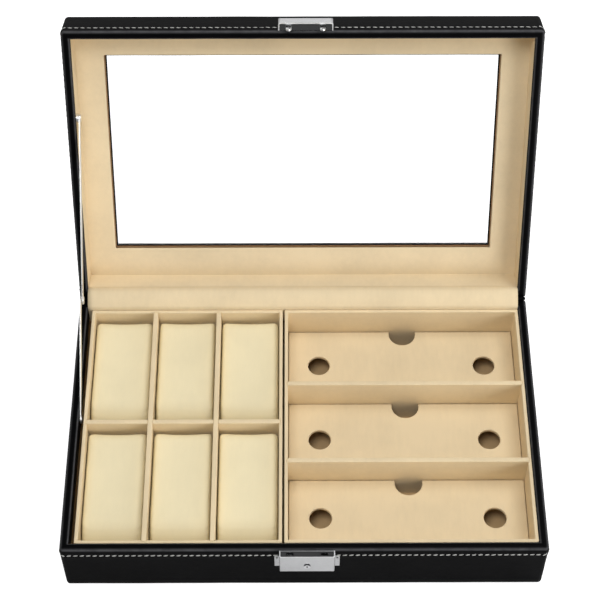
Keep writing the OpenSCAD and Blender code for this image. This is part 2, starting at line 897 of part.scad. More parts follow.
// Closes the cover at the back and carries the bolt's two guide pins
module lock_back_plate() {
    z0 = rim_z - lock_h + sheet_t + plate_gap;
    z1 = rim_z - inset - sheet_t - plate_gap;
    pin_front = hook_y - bolt_t / 2 - guide_out;
    color(steel) {
        translate([lock_x, front_y, z0]) rotate([90, 0, 0]) linear_extrude(sheet_t) back_outline(z1 - z0);
        for (side = [-1, 1])
            translate([lock_x + side * guide_x, (front_y + pin_front) / 2, rim_z - (bar_high + bar_low) / 2])
                rod_y(guide_r, front_y - pin_front);
    }
}

module lock_plug() {
    plug_y0 = lock_y0 - plug_out;
    plug_y1 = collar_y + collar_t;
    pin_end = hook_y + bolt_t / 2;
    color(chrome) translate([lock_x, 0, plug_z]) difference() {
        union() {
            translate([0, (plug_y0 + plug_y1) / 2, 0]) rod_y(plug_r, plug_y1 - plug_y0);
            translate([0, collar_y + collar_t / 2, 0]) rod_y(collar_r, collar_t);
            translate([cam_x, (collar_y + pin_end) / 2, cam_x]) rod_y(cam_pin_r, pin_end - collar_y);
        }
        translate([0, plug_y0, key_slot_w / 2]) rod_y(key_hole_r, 2 * key_depth);
        translate([0, plug_y0, -key_slot_w]) cube([key_slot_w, 2 * key_depth, key_slot_h], center = true);
    }
}

// A flat plate with two posts whose toes enter the hooks' notches
module lock_bolt() {
    toe_x = hook_w / 2 + toe_clear;
    post_x = toe_x + toe_l;
    toe_low = notch_low - toe_gap;
    toe_high = notch_high + toe_gap;
    slot_h = 2 * (guide_r + guide_gap);
    bar_mid = (bar_high + bar_low) / 2;
    bar_left = guide_x + bar_end;
    color(steel) translate([lock_x, hook_y + bolt_t / 2, rim_z]) rotate([90, 0, 0]) linear_extrude(bolt_t) difference() {
        union() {
            translate([-bar_left, -bar_low]) square([hook_pitch / 2 + post_x + post_w + bar_left, bar_h]);
            for (side = [-1, 1]) {
                translate([side * hook_pitch / 2 + post_x, -bar_low]) square([post_w, bar_low - toe_high]);
                translate([side * hook_pitch / 2 + toe_x, -toe_low]) square([toe_l + post_w / 2, toe_low - toe_high]);
            }
            translate([cam_x - cam_arm_w / 2, -cam_arm_low]) square([cam_arm_w, cam_arm_low - bar_low + eps]);
        }
        for (side = [-1, 1])
            translate([side * guide_x, -bar_mid]) bolt_slot(slot_h / 2);
        translate([cam_x - cam_pin_r - cam_gap, -plug_drop + cam_x - 2 * cam_pin_r])
            square([2 * (cam_pin_r + cam_gap), cam_r - cam_x + 4 * cam_pin_r]);
    }
}

// A guide slot that lets the plate move left by its travel
module bolt_slot(r) {
    circle(r);
    translate([bolt_travel, 0]) circle(r);
    translate([0, -r]) square([bolt_travel, 2 * r]);
}

// ---- hooks on the lid ----

module hasp_nail_bodies() {
    for (side = [-1, 1])
        translate([lock_x + side * hasp_nail_x, front_y, hasp_nail_z]) rotate([-90, 0, 0]) cylinder(h = nail_l, r = nail_r);
}

module hasp_nails() {
    color(steel) on_lid() {
        hasp_nail_bodies();
        for (side = [-1, 1])
            translate([lock_x + side * hasp_nail_x, front_y - sheet_t, hasp_nail_z]) {
                rotate([-90, 0, 0]) cylinder(h = sheet_t, r = nail_r);
                nail_dome();
            }
    }
}

module hasp_cover() {
    color(chrome) on_lid() intersection() {
        pressed_shell(lock_w, lid_z0 - far, lid_z0 + hasp_h);
        translate([lock_x - lock_w, lock_y0, lid_z0]) cube([2 * lock_w, lock_out, hasp_h]);
    }
}

// One hook, drawn from the plate down: a flat tongue with a round tip and a notch on its right
module hook_outline() {
    reach = hook_reach + rim_gap + inset;
    difference() {
        union() {
            translate([-hook_w / 2, -hook_reach + hook_w / 2]) square([hook_w, reach - hook_w / 2]);
            translate([0, -hook_reach + hook_w / 2]) circle(hook_w / 2);
        }
        translate([0.1, -notch_low]) square([hook_w, notch_low - notch_high]);
    }
}

module hasp_plate() {
    back_h = hasp_h - inset - sheet_t - plate_gap;
    color(steel) on_lid() difference() {
        union() {
            translate([0, 0, lid_z0 + inset]) linear_extrude(sheet_t) plate_outline();
            translate([lock_x, front_y - sheet_t, lid_z0 + inset + back_h])
                rotate([-90, 0, 0]) linear_extrude(sheet_t) back_outline(back_h);
            for (side = [-1, 1])
                translate([lock_x + side * hook_pitch / 2, hook_y + hook_t / 2, rim_z])
                    rotate([90, 0, 0]) linear_extrude(hook_t) hook_outline();
        }
        for (side = [-1, 1])
            translate([lock_x + side * hasp_nail_x, front_y, hasp_nail_z]) rod_y(nail_r, far);
    }
}

// ---- output ----

bottom_cover();
base_board();
base_leather();
base_lining();
watch_tray();
watch_divider_cross();
watch_divider(0);  // watch_divider_left
watch_divider(1);  // watch_divider_right
pillow(1);  // pillow_1
pillow(2);  // pillow_2
pillow(3);  // pillow_3
pillow(4);  // pillow_4
pillow(5);  // pillow_5
pillow(6);  // pillow_6
glasses_tray();
glasses_divider(0);  // glasses_divider_rear
glasses_divider(1);  // glasses_divider_front
glasses_ledges();
glasses_board(0);  // glasses_board_rear
glasses_board(1);  // glasses_board_middle
glasses_board(2);  // glasses_board_front
lock_cover();
lock_top_plate();
lock_back_plate();
lock_plug();
lock_bolt();
lock_nails();
base_hinge_leaves();
base_hinge_screws();
hinge_pins();
cloth_base_flap();
hinge_cloth_fold();
cloth_lid_flap();
stay_wall_rivet();
stay_lower_link();
stay_upper_link();
stay_middle_rivet();
stay_lid_rivet();
lid_board();
lid_leather();
lid_lining();
lid_card();
lid_glass();
lid_hinge_leaves();
lid_hinge_screws();
hasp_cover();
hasp_plate();
hasp_nails();
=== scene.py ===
"""A leather watch and glasses case, dressed around its solids.

Each sub-assembly of the case is a class that makes its own pieces and puts the finishes on the solids that
it keeps. Sizes are in millimetres in the classes and in metres in the finished meshes.
"""

import logging  # noqa: E402
import math  # noqa: E402
from dataclasses import dataclass, field  # noqa: E402
from enum import Enum  # noqa: E402
from typing import Sequence  # noqa: E402

import bmesh  # noqa: E402
import bpy  # noqa: E402
import numpy as np  # noqa: E402
from mathutils import Matrix, Vector, noise  # noqa: E402
from mathutils.geometry import tessellate_polygon  # noqa: E402


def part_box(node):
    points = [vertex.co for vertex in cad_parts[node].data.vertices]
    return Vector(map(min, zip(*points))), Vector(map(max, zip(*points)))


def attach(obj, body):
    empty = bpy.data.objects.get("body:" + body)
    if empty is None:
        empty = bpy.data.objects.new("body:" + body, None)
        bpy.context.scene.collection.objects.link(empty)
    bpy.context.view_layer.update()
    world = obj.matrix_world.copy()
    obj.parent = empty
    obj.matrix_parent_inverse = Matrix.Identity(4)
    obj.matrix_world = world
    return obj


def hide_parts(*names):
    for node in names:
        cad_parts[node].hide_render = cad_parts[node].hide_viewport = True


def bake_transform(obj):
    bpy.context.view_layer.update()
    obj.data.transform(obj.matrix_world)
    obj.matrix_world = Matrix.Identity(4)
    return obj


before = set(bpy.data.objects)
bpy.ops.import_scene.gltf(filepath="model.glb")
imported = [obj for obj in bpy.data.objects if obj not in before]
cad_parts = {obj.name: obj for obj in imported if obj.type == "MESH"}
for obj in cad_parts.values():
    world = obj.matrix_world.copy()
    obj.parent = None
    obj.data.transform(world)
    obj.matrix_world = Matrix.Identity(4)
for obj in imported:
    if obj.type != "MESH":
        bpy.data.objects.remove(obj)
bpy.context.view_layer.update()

MM = 0.001
LOG = logging.getLogger("case")

Colour = tuple[float, float, float]
Flat = tuple[float, float]
Face = tuple[int, ...]
Material = bpy.types.Material
Node = bpy.types.Node
Object = bpy.types.Object
Socket = bpy.types.NodeSocket
Value = float | Colour | Socket

TINY = 1e-9
UP = (0.0, 0.0, 1.0)
BACK = (0.0, 1.0, 0.0)
WHITE = (1.0, 1.0, 1.0)


class Grain(Enum):
    """How coarse a velvet's pile is, as clouds to a metre."""

    FINE = 2600.0
    MEDIUM = 1800.0


class Side(Enum):
    """The left or the right of something, as the signs of X."""

    LEFT = -1
    RIGHT = 1


def srgb(red: int, green: int, blue: int) -> Colour:
    """Turns a colour as a screen shows it into linear light.

    Args:
        red: red, 0 to 255.
        green: green, 0 to 255.
        blue: blue, 0 to 255.

    Returns:
        The same colour as three linear numbers.
    """
    shares = [value / 255 for value in (red, green, blue)]
    return tuple(s / 12.92 if s <= 0.04045 else ((s + 0.055) / 1.055) ** 2.4 for s in shares)


def shaded(colour: Colour, by: float) -> Colour:
    """A colour made darker or lighter by a factor."""
    return tuple(min(1.0, c * by) for c in colour)


# ---- sizes ----


@dataclass(frozen=True)
class CaseSizes:
    """The sizes of the case that the solids were built to, in millimetres."""

    body_w: float = 335.0
    body_d: float = 210.0
    rim_z: float = 52.0
    rim_gap: float = 0.4
    lid_h: float = 31.0
    wall: float = 6.5
    edge_r: float = 3.0
    bead_r: float = 2.0
    skin_t: float = 1.0
    cover_t: float = 0.8
    turn_in: float = 14.0
    turn_under: float = 16.0
    lid_turn_in: float = 3.6
    lid_open: float = 115.0
    hinge_back: float = 1.3
    window_side: float = 28.0
    window_front: float = 28.5
    window_back: float = 30.5
    window_r: float = 1.4
    panel_t: float = 4.0
    glass_t: float = 2.0
    cloth_t: float = 0.7
    cloth_down: float = 16.0
    cloth_up: float = 4.0
    cloth_crown: float = 1.6
    tray_gap: float = 0.3
    lock_x: float = 2.0

    @property
    def lid_z0(self) -> float:
        """Height of the shut lid's rim."""
        return self.rim_z + self.rim_gap

    @property
    def lid_z1(self) -> float:
        """Height of the shut lid's top."""
        return self.lid_z0 + self.lid_h

    @property
    def axis(self) -> Flat:
        """The hinge axis in the side view, as Y and Z."""
        return (self.body_d / 2 + self.hinge_back, self.rim_z + self.rim_gap / 2)

    @property
    def in_d(self) -> float:
        """Depth inside the leather walls."""
        return self.body_d - 2 * self.wall

    @property
    def in_w(self) -> float:
        """Width inside the leather walls."""
        return self.body_w - 2 * self.wall

    def on_lid(self, points: np.ndarray) -> np.ndarray:
        """Moves points drawn for the shut lid to where the open lid stands.

        Args:
            points: rows of X, Y and Z in millimetres.

        Returns:
            The moved rows.
        """
        y0, z0 = self.axis
        turn = -math.radians(self.lid_open)
        y, z = points[:, 1] - y0, points[:, 2] - z0
        moved = points.astype(float).copy()
        moved[:, 1] = y0 + y * math.cos(turn) - z * math.sin(turn)
        moved[:, 2] = z0 + y * math.sin(turn) + z * math.cos(turn)
        return moved


SIZES = CaseSizes()


# ---- node wiring ----


class Graph:
    """A node tree, with short calls that add nodes and join them."""

    def __init__(self, tree: bpy.types.NodeTree) -> None:
        """Takes a tree and empties it."""
        self.tree = tree
        tree.nodes.clear()

    def put(self, socket: Socket, value: Value) -> None:
        """Joins a socket to another one, or gives it a number, a colour or a vector.

        Args:
            socket: the input.
            value: the socket, number, colour or vector that it gets.
        """
        if isinstance(value, Socket):
            self.tree.links.new(value, socket)
        elif isinstance(value, tuple) and len(socket.default_value) > len(value):
            socket.default_value = (*value, 1)
        else:
            socket.default_value = value

    def add(self, kind: str, *values: Value | None, **named: Value | str | bool) -> Node:
        """Adds a node.

        Args:
            kind: the node's type.
            values: its first inputs in order, with None for one that stays as it is.
            named: its settings in small letters, and its inputs by name, with spaces as underscores.

        Returns:
            The node.
        """
        node = self.tree.nodes.new(kind)
        for name, value in named.items():
            if name[0].islower():
                setattr(node, name, value)
            else:
                self.put(node.inputs[name.replace("_", " ")], value)
        for socket, value in zip(node.inputs, values):
            if value is not None:
                self.put(socket, value)
        return node

    def math(self, operation: str, *values: float | Socket, clamp: bool = False) -> Socket:
        """The result of one step of arithmetic on numbers or sockets."""
        return self.add("ShaderNodeMath", *values, operation=operation, use_clamp=clamp).outputs[0]

    def seen_directly(self) -> Socket:
        """1 for what is seen straight or through glass, and 0 for light that only falls on a surface."""
        path = self.add("ShaderNodeLightPath").outputs
        return self.math("MAXIMUM", path["Is Camera Ray"], path["Is Transmission Ray"])


class ShapeGraph(Graph):
    """A geometry node tree with a mesh going in, a mesh coming out and named inputs for its sizes."""

    def __init__(self, name: str, **inputs: str) -> None:
        """Starts a tree.

        Args:
            name: its name.
            inputs: its further inputs by name, each with its kind.
        """
        super().__init__(bpy.data.node_groups.new(name, "GeometryNodeTree"))
        kinds = {"Geometry": "Geometry", **inputs}
        new = self.tree.interface.new_socket
        self.inputs = {
            label: new(label, in_out="INPUT", socket_type="NodeSocket" + kind)
            for label, kind in kinds.items()
        }
        new("Geometry", in_out="OUTPUT", socket_type="NodeSocketGeometry")
        self.start = self.add("NodeGroupInput").outputs


class Wiring(Graph):
    """A material's node tree, with short calls for the nodes that the finishes use."""

    def __init__(self, name: str) -> None:
        """Starts an empty material of that name."""
        self.material = bpy.data.materials.new(name)
        self.material.use_nodes = True
        super().__init__(self.material.node_tree)
        self.out = self.add("ShaderNodeOutputMaterial")
        self.coords = self.add("ShaderNodeTexCoord").outputs["Object"]

    def stretched(self, scale: Colour) -> Socket:
        """The piece's own coordinates, stretched by scale on each axis."""
        return self.add("ShaderNodeMapping", Vector=self.coords, Scale=scale).outputs["Vector"]

    def noise(self, scale: float, detail: float, rough: float, vector: Socket | None = None) -> Socket:
        """A cloudy pattern.

        Args:
            scale: how many clouds to a metre.
            detail: how many finer layers it has.
            rough: how strong the finer layers are.
            vector: the coordinates, or the piece's own.

        Returns:
            The pattern's value, from 0 to 1.
        """
        place = vector or self.coords
        node = self.add("ShaderNodeTexNoise", place, Scale=scale, Detail=detail, Roughness=rough)
        return node.outputs["Fac"]

    def cells(self, scale: float, soft: float) -> Socket:
        """A pattern of small soft-edged cells, such as pebbled leather has.

        Args:
            scale: how many cells to a metre.
            soft: how soft the borders are.

        Returns:
            The distance to the middle of each cell.
        """
        node = self.add("ShaderNodeTexVoronoi", self.coords, feature="SMOOTH_F1", Scale=scale)
        self.put(node.inputs["Smoothness"], soft)
        return node.outputs["Distance"]

    def sum(self, first: Socket, second: Socket, share: float) -> Socket:
        """first plus share times second."""
        return self.math("MULTIPLY_ADD", second, share, first)

    def blend_of(
        self, share: Socket, low: Colour, high: Colour, start: float = 0.3, end: float = 0.7
    ) -> Socket:
        """A colour between two, by a pattern.

        Args:
            share: the pattern.
            low: the colour where the pattern is at start or less.
            high: the colour where the pattern is at end or more.
            start: the pattern's value for low.
            end: the pattern's value for high.

        Returns:
            The colour.
        """
        node = self.add("ShaderNodeValToRGB", Fac=share)
        for element, position, colour in zip(node.color_ramp.elements, (start, end), (low, high)):
            element.position = position
            element.color = (*colour, 1)
        return node.outputs["Color"]

    def painted_highlight_share(self, pattern: Socket, low: float = 0.35, high: float = 1.25) -> Socket:
        """The share of painted highlight that the piece's points carry, times low to high by a pattern."""
        painted_highlight = self.add("ShaderNodeAttribute", attribute_name="wear", attribute_type="GEOMETRY")
        return self.math("MULTIPLY", painted_highlight.outputs["Fac"], self.between(pattern, low, high), clamp=True)

    def mixed(self, share: Socket, low: Socket, high: Colour) -> Socket:
        """A colour between two, by a share.

        Args:
            share: the share.
            low: the colour where it is 0.
            high: the colour where it is 1.

        Returns:
            The colour.
        """
        node = self.add("ShaderNodeMix", share, data_type="RGBA")
        for socket, value in zip([s for s in node.inputs if s.type == "RGBA"], (low, high)):
            self.put(socket, value)
        return next(s for s in node.outputs if s.type == "RGBA")

    def between(self, share: Socket, low: float, high: float) -> Socket:
        """A number from low to high, by a pattern from 0 to 1."""
        return self.add("ShaderNodeMapRange", Value=share, To_Min=low, To_Max=high).outputs["Result"]

    def zone(self, source: str, way: Colour, start: float, end: float) -> Socket:
        """The part of a piece that lies or looks a certain way.

        Args:
            source: "Object" for where it lies in metres, "Normal" for the way that it faces.
            way: the direction that counts.
            start: how far that way the zone starts.
            end: how far that way it is full.

        Returns:
            Its share, from 0 to 1.
        """
        place = self.add("ShaderNodeTexCoord").outputs[source]
        along = self.add("ShaderNodeVectorMath", place, way, operation="DOT_PRODUCT").outputs["Value"]
        return self.add("ShaderNodeMapRange", Value=along, From_Min=start, From_Max=end).outputs["Result"]

    def bump(self, height: Socket, depth_mm: float, **under: Socket) -> Socket:
        """A relief of depth_mm from a pattern, on top of another one where Normal is given."""
        node = self.add("ShaderNodeBump", Strength=1.0, Distance=depth_mm * MM, Height=height, **under)
        return node.outputs["Normal"]

    def surface(self, **values: Value) -> Node:
        """Adds the main shader and joins it to the output.

        Args:
            values: its inputs by name, with spaces as underscores, as numbers, colours or sockets.

        Returns:
            The shader's node.
        """
        node = self.add("ShaderNodeBsdfPrincipled", **values)
        self.put(self.out.inputs["Surface"], node.outputs["BSDF"])
        return node


# ---- finishes ----


@dataclass(frozen=True)
class Leather:
    """Black pebbled leather, a little shiny, with creases that the light catches and a painted highlight on
    its rolled edges.
    """

    name: str = "black_leather"
    dark: Colour = srgb(5, 5, 6)
    light: Colour = srgb(11, 11, 12)
    # Painted highlight colour of the rolled edges.
    painted_highlight: Colour = srgb(84, 84, 86)
    clouds: float = 28.0
    pebbles: float = 1150.0
    pores: float = 3600.0
    creases: float = 160.0
    relief_mm: float = 0.045
    crease_mm: float = 0.12
    gloss: float = 0.4
    highlight_gloss: float = 0.26
    shine: float = 0.018

    def material(self) -> Material:
        """Builds the material.

        Returns:
            The material.
        """
        w = Wiring(self.name)
        clouds = w.noise(self.clouds, 3, 0.6)
        pebbles = w.cells(self.pebbles, 0.5)
        pores = w.noise(self.pores, 2, 0.6)
        creases = w.noise(self.creases, 4, 0.62)
        grain = w.bump(w.sum(pebbles, pores, 0.35), self.relief_mm)
        # Painted highlight: the rolled edges are painted lighter and made glossier, in patches by the creases.
        wear = w.painted_highlight_share(creases)
        whole = w.blend_of(w.sum(clouds, pebbles, 0.25), self.dark, self.light, 0.35, 0.9)
        w.surface(
            Base_Color=w.mixed(wear, whole, self.painted_highlight),
            Roughness=w.between(wear, self.gloss, self.highlight_gloss),
            Specular_IOR_Level=self.shine,
            Normal=w.bump(creases, self.crease_mm, Normal=grain),
        )
        return w.material


@dataclass(frozen=True)
class Velvet:
    """Short-napped velvet: matt, with a soft sheen and a nap that lies lighter and darker in patches."""

    name: str
    colour: Colour
    nap: float = 0.07
    grain: Grain = Grain.FINE
    sheen: float = 0.25
    painted_shade: Colour | None = None
    patches: float = 22.0
    strokes: float = 300.0
    relief_mm: float = 0.07
    painted_shade_at: Flat = (0.97, 0.45)

    def material(self) -> Material:
        """Builds the material, which goes towards a darker colour, where one is given, as it faces sideways:
        painted shade on the sides and ends.

        Returns:
            The material.
        """
        w = Wiring(self.name)
        patches = w.noise(self.patches, 3, 0.55)
        pile = w.noise(self.grain.value, 2, 0.65)
        brushed = w.noise(self.strokes, 3, 0.6, w.stretched((1.0, 0.25, 1.0)))
        tone = w.sum(w.sum(patches, pile, 0.35), brushed, 0.35)
        dark, light = shaded(self.colour, 1 - self.nap), shaded(self.colour, 1 + 0.6 * self.nap)
        colour = w.blend_of(tone, dark, light, 0.6, 1.1)
        # Painted shade: the colour darkens as the surface turns from up to the side.
        if self.painted_shade is not None:
            colour = w.mixed(w.zone("Normal", UP, *self.painted_shade_at), colour, self.painted_shade)
        w.surface(
            Base_Color=colour,
            Roughness=w.between(pile, 0.82, 0.98),
            Specular_IOR_Level=0.15,
            Sheen_Weight=self.sheen,
            Sheen_Roughness=0.45,
            Sheen_Tint=shaded(self.colour, 1.15),
            Normal=w.bump(w.sum(pile, brushed, 0.5), self.relief_mm),
        )
        return w.material


@dataclass(frozen=True)
class Zone:
    """A part of a plated piece that gets another colour and roughness: what lies beyond a distance, or faces
    one way. Most zones are painted highlights and painted shade.
    """

    source: str
    way: Colour
    start: float
    end: float
    colour: Colour
    rougher: float


@dataclass(frozen=True)
class Plating:
    """Polished plating over pressed steel, with fine polishing marks."""

    name: str
    colour: Colour = (0.64, 0.645, 0.655)
    low: float = 0.07
    high: float = 0.16
    marks_mm: float = 0.003
    zone: Zone | None = None
    haze: float = 260.0
    marks: float = 2400.0

    def material(self) -> Material:
        """Builds the material.

        Returns:
            The material.
        """
        w = Wiring(self.name)
        haze = w.noise(self.haze, 3, 0.6)
        marks = w.noise(self.marks, 2, 0.5, w.stretched((0.12, 1.0, 1.0)))
        tone = w.blend_of(haze, shaded(self.colour, 0.93), self.colour)
        rough = w.between(w.sum(haze, marks, 0.3), self.low, self.high)
        # The zone's colour and roughness: a painted highlight on some pieces, painted shade on others.
        if self.zone is not None:
            share = w.zone(self.zone.source, self.zone.way, self.zone.start, self.zone.end)
            tone = w.mixed(share, tone, self.zone.colour)
            rough = w.sum(rough, share, self.zone.rougher)
        w.surface(Base_Color=tone, Metallic=1.0, Roughness=rough, Normal=w.bump(marks, self.marks_mm))
        return w.material


@dataclass(frozen=True)
class Thread:
    """Two-ply sewing thread, pale grey."""

    name: str = "seam_thread"
    colour: Colour = srgb(206, 206, 202)
    plies: float = 2600.0
    relief_mm: float = 0.08

    def material(self) -> Material:
        """Builds the material.

        Returns:
            The material.
        """
        w = Wiring(self.name)
        plies = w.noise(self.plies, 2, 0.5, w.stretched((0.5, 0.5, 1.6)))
        w.surface(
            Base_Color=w.blend_of(plies, shaded(self.colour, 0.7), self.colour, 0.35, 0.6),
            Roughness=0.72,
            Sheen_Weight=0.2,
            Normal=w.bump(plies, self.relief_mm),
        )
        return w.material


@dataclass(frozen=True)
class Felt:
    """A matt cloth of short fibres, such as the base stands on."""

    name: str = "base_felt"
    colour: Colour = srgb(42, 37, 34)
    fibres: float = 1500.0
    relief_mm: float = 0.15

    def material(self) -> Material:
        """Builds the material.

        Returns:
            The material.
        """
        w = Wiring(self.name)
        fibres = w.noise(self.fibres, 4, 0.7)
        w.surface(
            Base_Color=w.blend_of(fibres, shaded(self.colour, 0.6), shaded(self.colour, 1.4)),
            Roughness=0.95,
            Specular_IOR_Level=0.1,
            Sheen_Weight=0.15,
            Normal=w.bump(fibres, self.relief_mm),
        )
        return w.material


@dataclass(frozen=True)
class Fibreboard:
    """Pressed wood fibre, as its cut edges show it."""

    name: str = "fibreboard"
    colour: Colour = srgb(169, 131, 90)
    flecks: float = 900.0
    relief_mm: float = 0.08

    def material(self) -> Material:
        """Builds the material.

        Returns:
            The material.
        """
        w = Wiring(self.name)
        flecks = w.noise(self.flecks, 4, 0.7, w.stretched((1.0, 1.0, 3.0)))
        w.surface(
            Base_Color=w.blend_of(flecks, shaded(self.colour, 0.75), shaded(self.colour, 1.15)),
            Roughness=0.85,
            Normal=w.bump(flecks, self.relief_mm),
        )
        return w.material


@dataclass(frozen=True)
class ClearGlass:
    """Clear float glass with a thin reflection, which lets the light of lamps and walls pass straight."""

    name: str = "clear_glass"
    tint: Colour = (0.985, 0.995, 0.99)
    index: float = 1.45
    clearness: float = 0.93

    def material(self) -> Material:
        """Builds the material.

        Returns:
            The material.
        """
        w = Wiring(self.name)
        glass = w.surface(Base_Color=self.tint, Roughness=0.0, IOR=self.index, Transmission_Weight=1.0)
        clear = w.add("ShaderNodeBsdfTransparent")
        path = w.add("ShaderNodeLightPath").outputs
        lit = w.math("MAXIMUM", path["Is Shadow Ray"], path["Is Diffuse Ray"])
        passed = w.math("ADD", lit, self.clearness, clamp=True)
        mix = w.add("ShaderNodeMixShader", passed, glass.outputs["BSDF"], clear.outputs["BSDF"])
        w.put(w.out.inputs["Surface"], mix.outputs["Shader"])
        return w.material


# Shades of plating: the bright one is also the hasp's and the plug's own plating; the pale and bright ones
# paint highlights on the lock's and hasp's pieces, and the deep one paints shade on the plug.
SHADE_DARK = (0.03, 0.03, 0.032)
DULL = (0.42, 0.42, 0.43)
BRIGHT = (0.76, 0.765, 0.775)
HIGHLIGHT_PALE = (0.92, 0.92, 0.91)
MIRROR = {"colour": (0.3, 0.302, 0.31), "low": 0.03, "high": 0.07, "marks_mm": 0.001}

# The way that the open lid's rim faces, and where its hooks start that way.
LID_DOWN = (0.0, -math.sin(math.radians(SIZES.lid_open)), -math.cos(math.radians(SIZES.lid_open)))
HOOK_ROOT = 0.25
HOOKS_FROM = (LID_DOWN[1] * SIZES.axis[0] + LID_DOWN[2] * SIZES.axis[1] - HOOK_ROOT) * MM
HOOKS_LONG = 4 * MM

# Where the lock's and the hasp's pieces are painted another shade: painted highlights on the covers' edges and
# the hooks' tips, painted shade on the plug's sides and keyhole; the top plate is also lighter and rougher
# behind the line of the case's front.
FACING = (0.6, 0.85)
# Painted highlight: the lock cover's faces turned up are painted bright and made rougher.
LOCK_TOP_HIGHLIGHT = Zone("Normal", UP, *FACING, BRIGHT, 0.25)
# Painted highlight: the hasp cover's faces towards the lid's rim are painted pale and made rougher.
HASP_TOP_HIGHLIGHT = Zone("Normal", LID_DOWN, *FACING, HIGHLIGHT_PALE, 0.3)
# Painted shade: the plug is painted near black from just behind its front face, on its sides and in the
# keyhole.
PLUG_PAINTED_SHADE = Zone("Object", BACK, -0.11105, -0.11095, SHADE_DARK, 0.2)
LOCK_WALL = Zone("Object", BACK, -0.1056, -0.1055, DULL, 0.25)
# Painted highlight: the hooks go from the dark plate at their roots to pale, rougher tips.
HOOK_HIGHLIGHT = Zone("Object", LID_DOWN, HOOKS_FROM, HOOKS_FROM + HOOKS_LONG, HIGHLIGHT_PALE, 0.3)


def made(finish: Leather | Velvet | Plating | Thread | Felt | Fibreboard | ClearGlass) -> Material:
    """A field that holds a finish's material, built with the box that it is in."""
    return field(default_factory=finish.material)


@dataclass
class FinishBox:
    """The finishes of the case, each built once."""

    leather: Material = made(Leather())
    velvet: Material = made(Velvet("beige_velvet", srgb(229, 209, 172)))
    lid_velvet: Material = made(Velvet("lid_velvet", srgb(230, 211, 176)))
    floor_velvet: Material = made(Velvet("floor_velvet", srgb(200, 168, 124)))
    # The pillows' velvet has painted shade, darker where it turns from up to the sides and ends.
    pillow: Material = made(
        Velvet("cream_velvet", srgb(241, 228, 190), 0.04, Grain.MEDIUM, 0.3, srgb(204, 190, 148))
    )
    chrome: Material = made(Plating("bright_plating"))
    # The lock's and hasp's platings carry painted highlights and painted shade in their zones.
    lock_rim: Material = made(Plating("lock_plating", zone=LOCK_TOP_HIGHLIGHT))
    hasp_rim: Material = made(Plating("hasp_plating", BRIGHT, zone=HASP_TOP_HIGHLIGHT))
    plug: Material = made(Plating("plug_plating", BRIGHT, zone=PLUG_PAINTED_SHADE))
    steel: Material = made(Plating("dark_plating", (0.42, 0.425, 0.435), 0.05, 0.12, 0.002))
    lock_mirror: Material = made(Plating("lock_mirror", **MIRROR, zone=LOCK_WALL))
    hasp_mirror: Material = made(Plating("hasp_mirror", **MIRROR, zone=HOOK_HIGHLIGHT))
    satin: Material = made(Plating("satin_plating", (0.86, 0.86, 0.85), 0.34, 0.46))
    burnished: Material = made(Plating("burnished_steel", (0.1, 0.1, 0.105), 0.2, 0.3))
    thread: Material = made(Thread())
    felt: Material = made(Felt())
    board: Material = made(Fibreboard())
    glass: Material = made(ClearGlass())


# ---- mesh helpers ----


def linked(name: str, data: bpy.types.ID) -> Object:
    """Makes an object of its data and puts it in the scene.

    Args:
        name: its name.
        data: its mesh, camera or lamp.

    Returns:
        The object.
    """
    new = bpy.data.objects.new(name, data)
    bpy.context.scene.collection.objects.link(new)
    return new


def piece_from(name: str, points: np.ndarray, faces: Sequence[Face], material: Material) -> Object:
    """Makes an object from points in millimetres.

    Args:
        name: the piece's name.
        points: rows of X, Y and Z in millimetres, in the row frame.
        faces: the points of each face.
        material: its finish.

    Returns:
        The object, smooth shaded, at the origin.
    """
    mesh = bpy.data.meshes.new(name)
    mesh.from_pydata((points * MM).tolist(), [], faces)
    mesh.update()
    smoothed(mesh)
    mesh.materials.append(material)
    return linked(name, mesh)


def smoothed(mesh: bpy.types.Mesh) -> None:
    """Shades all of a mesh smooth."""
    for polygon in mesh.polygons:
        polygon.use_smooth = True


def between_rows(rows: int, count: int, ring: bool, tube: bool = False, start: int = 0) -> list[Face]:
    """The faces between rows of points.

    Args:
        rows: how many rows there are.
        count: how many points each row has.
        ring: True where each row closes on itself.
        tube: True where the last row joins the first.
        start: the number of the first point.

    Returns:
        The points of each face.
    """
    corners = ((0, 0), (0, 1), (1, 1), (1, 0))
    return [
        tuple(start + (a + down) % rows * count + (b + along) % count for down, along in corners)
        for a in range(rows if tube else rows - 1)
        for b in range(count if ring else count - 1)
    ]


def faced_out(piece: Object, merge_m: float | None = None) -> Object:
    """Turns a closed piece's faces outwards.

    Args:
        piece: the piece.
        merge_m: how near points are merged first in metres, or None for none.

    Returns:
        The same piece.
    """
    tool = bmesh.new()
    tool.from_mesh(piece.data)
    if merge_m is not None:
        bmesh.ops.remove_doubles(tool, verts=tool.verts, dist=merge_m)
    bmesh.ops.recalc_face_normals(tool, faces=tool.faces)
    tool.to_mesh(piece.data)
    tool.free()
    return piece


def points_of(piece: Object) -> np.ndarray:
    """A piece's points, as rows of X, Y and Z in millimetres."""
    return np.array([v.co for v in piece.data.vertices]) / MM


def move_points(piece: Object, points: np.ndarray) -> None:
    """Moves a piece's points to rows of X, Y and Z in millimetres."""
    piece.data.vertices.foreach_set("co", (points * MM).astype(np.float32).ravel())
    piece.data.update()


def settled(piece: Object, name: str) -> Object:
    """Turns a piece with live modifiers into a plain mesh piece.

    Args:
        piece: the piece, which is removed.
        name: the new piece's name.

    Returns:
        The new piece.
    """
    graph = bpy.context.evaluated_depsgraph_get()
    mesh = bpy.data.meshes.new_from_object(piece.evaluated_get(graph))
    bpy.data.objects.remove(piece)
    mesh.name = name
    return linked(name, mesh)


def noise_rows(points: np.ndarray) -> np.ndarray:
    """Smooth noise from -1 to 1 at each row."""
    return np.array([noise.noise(Vector(p)) for p in points])


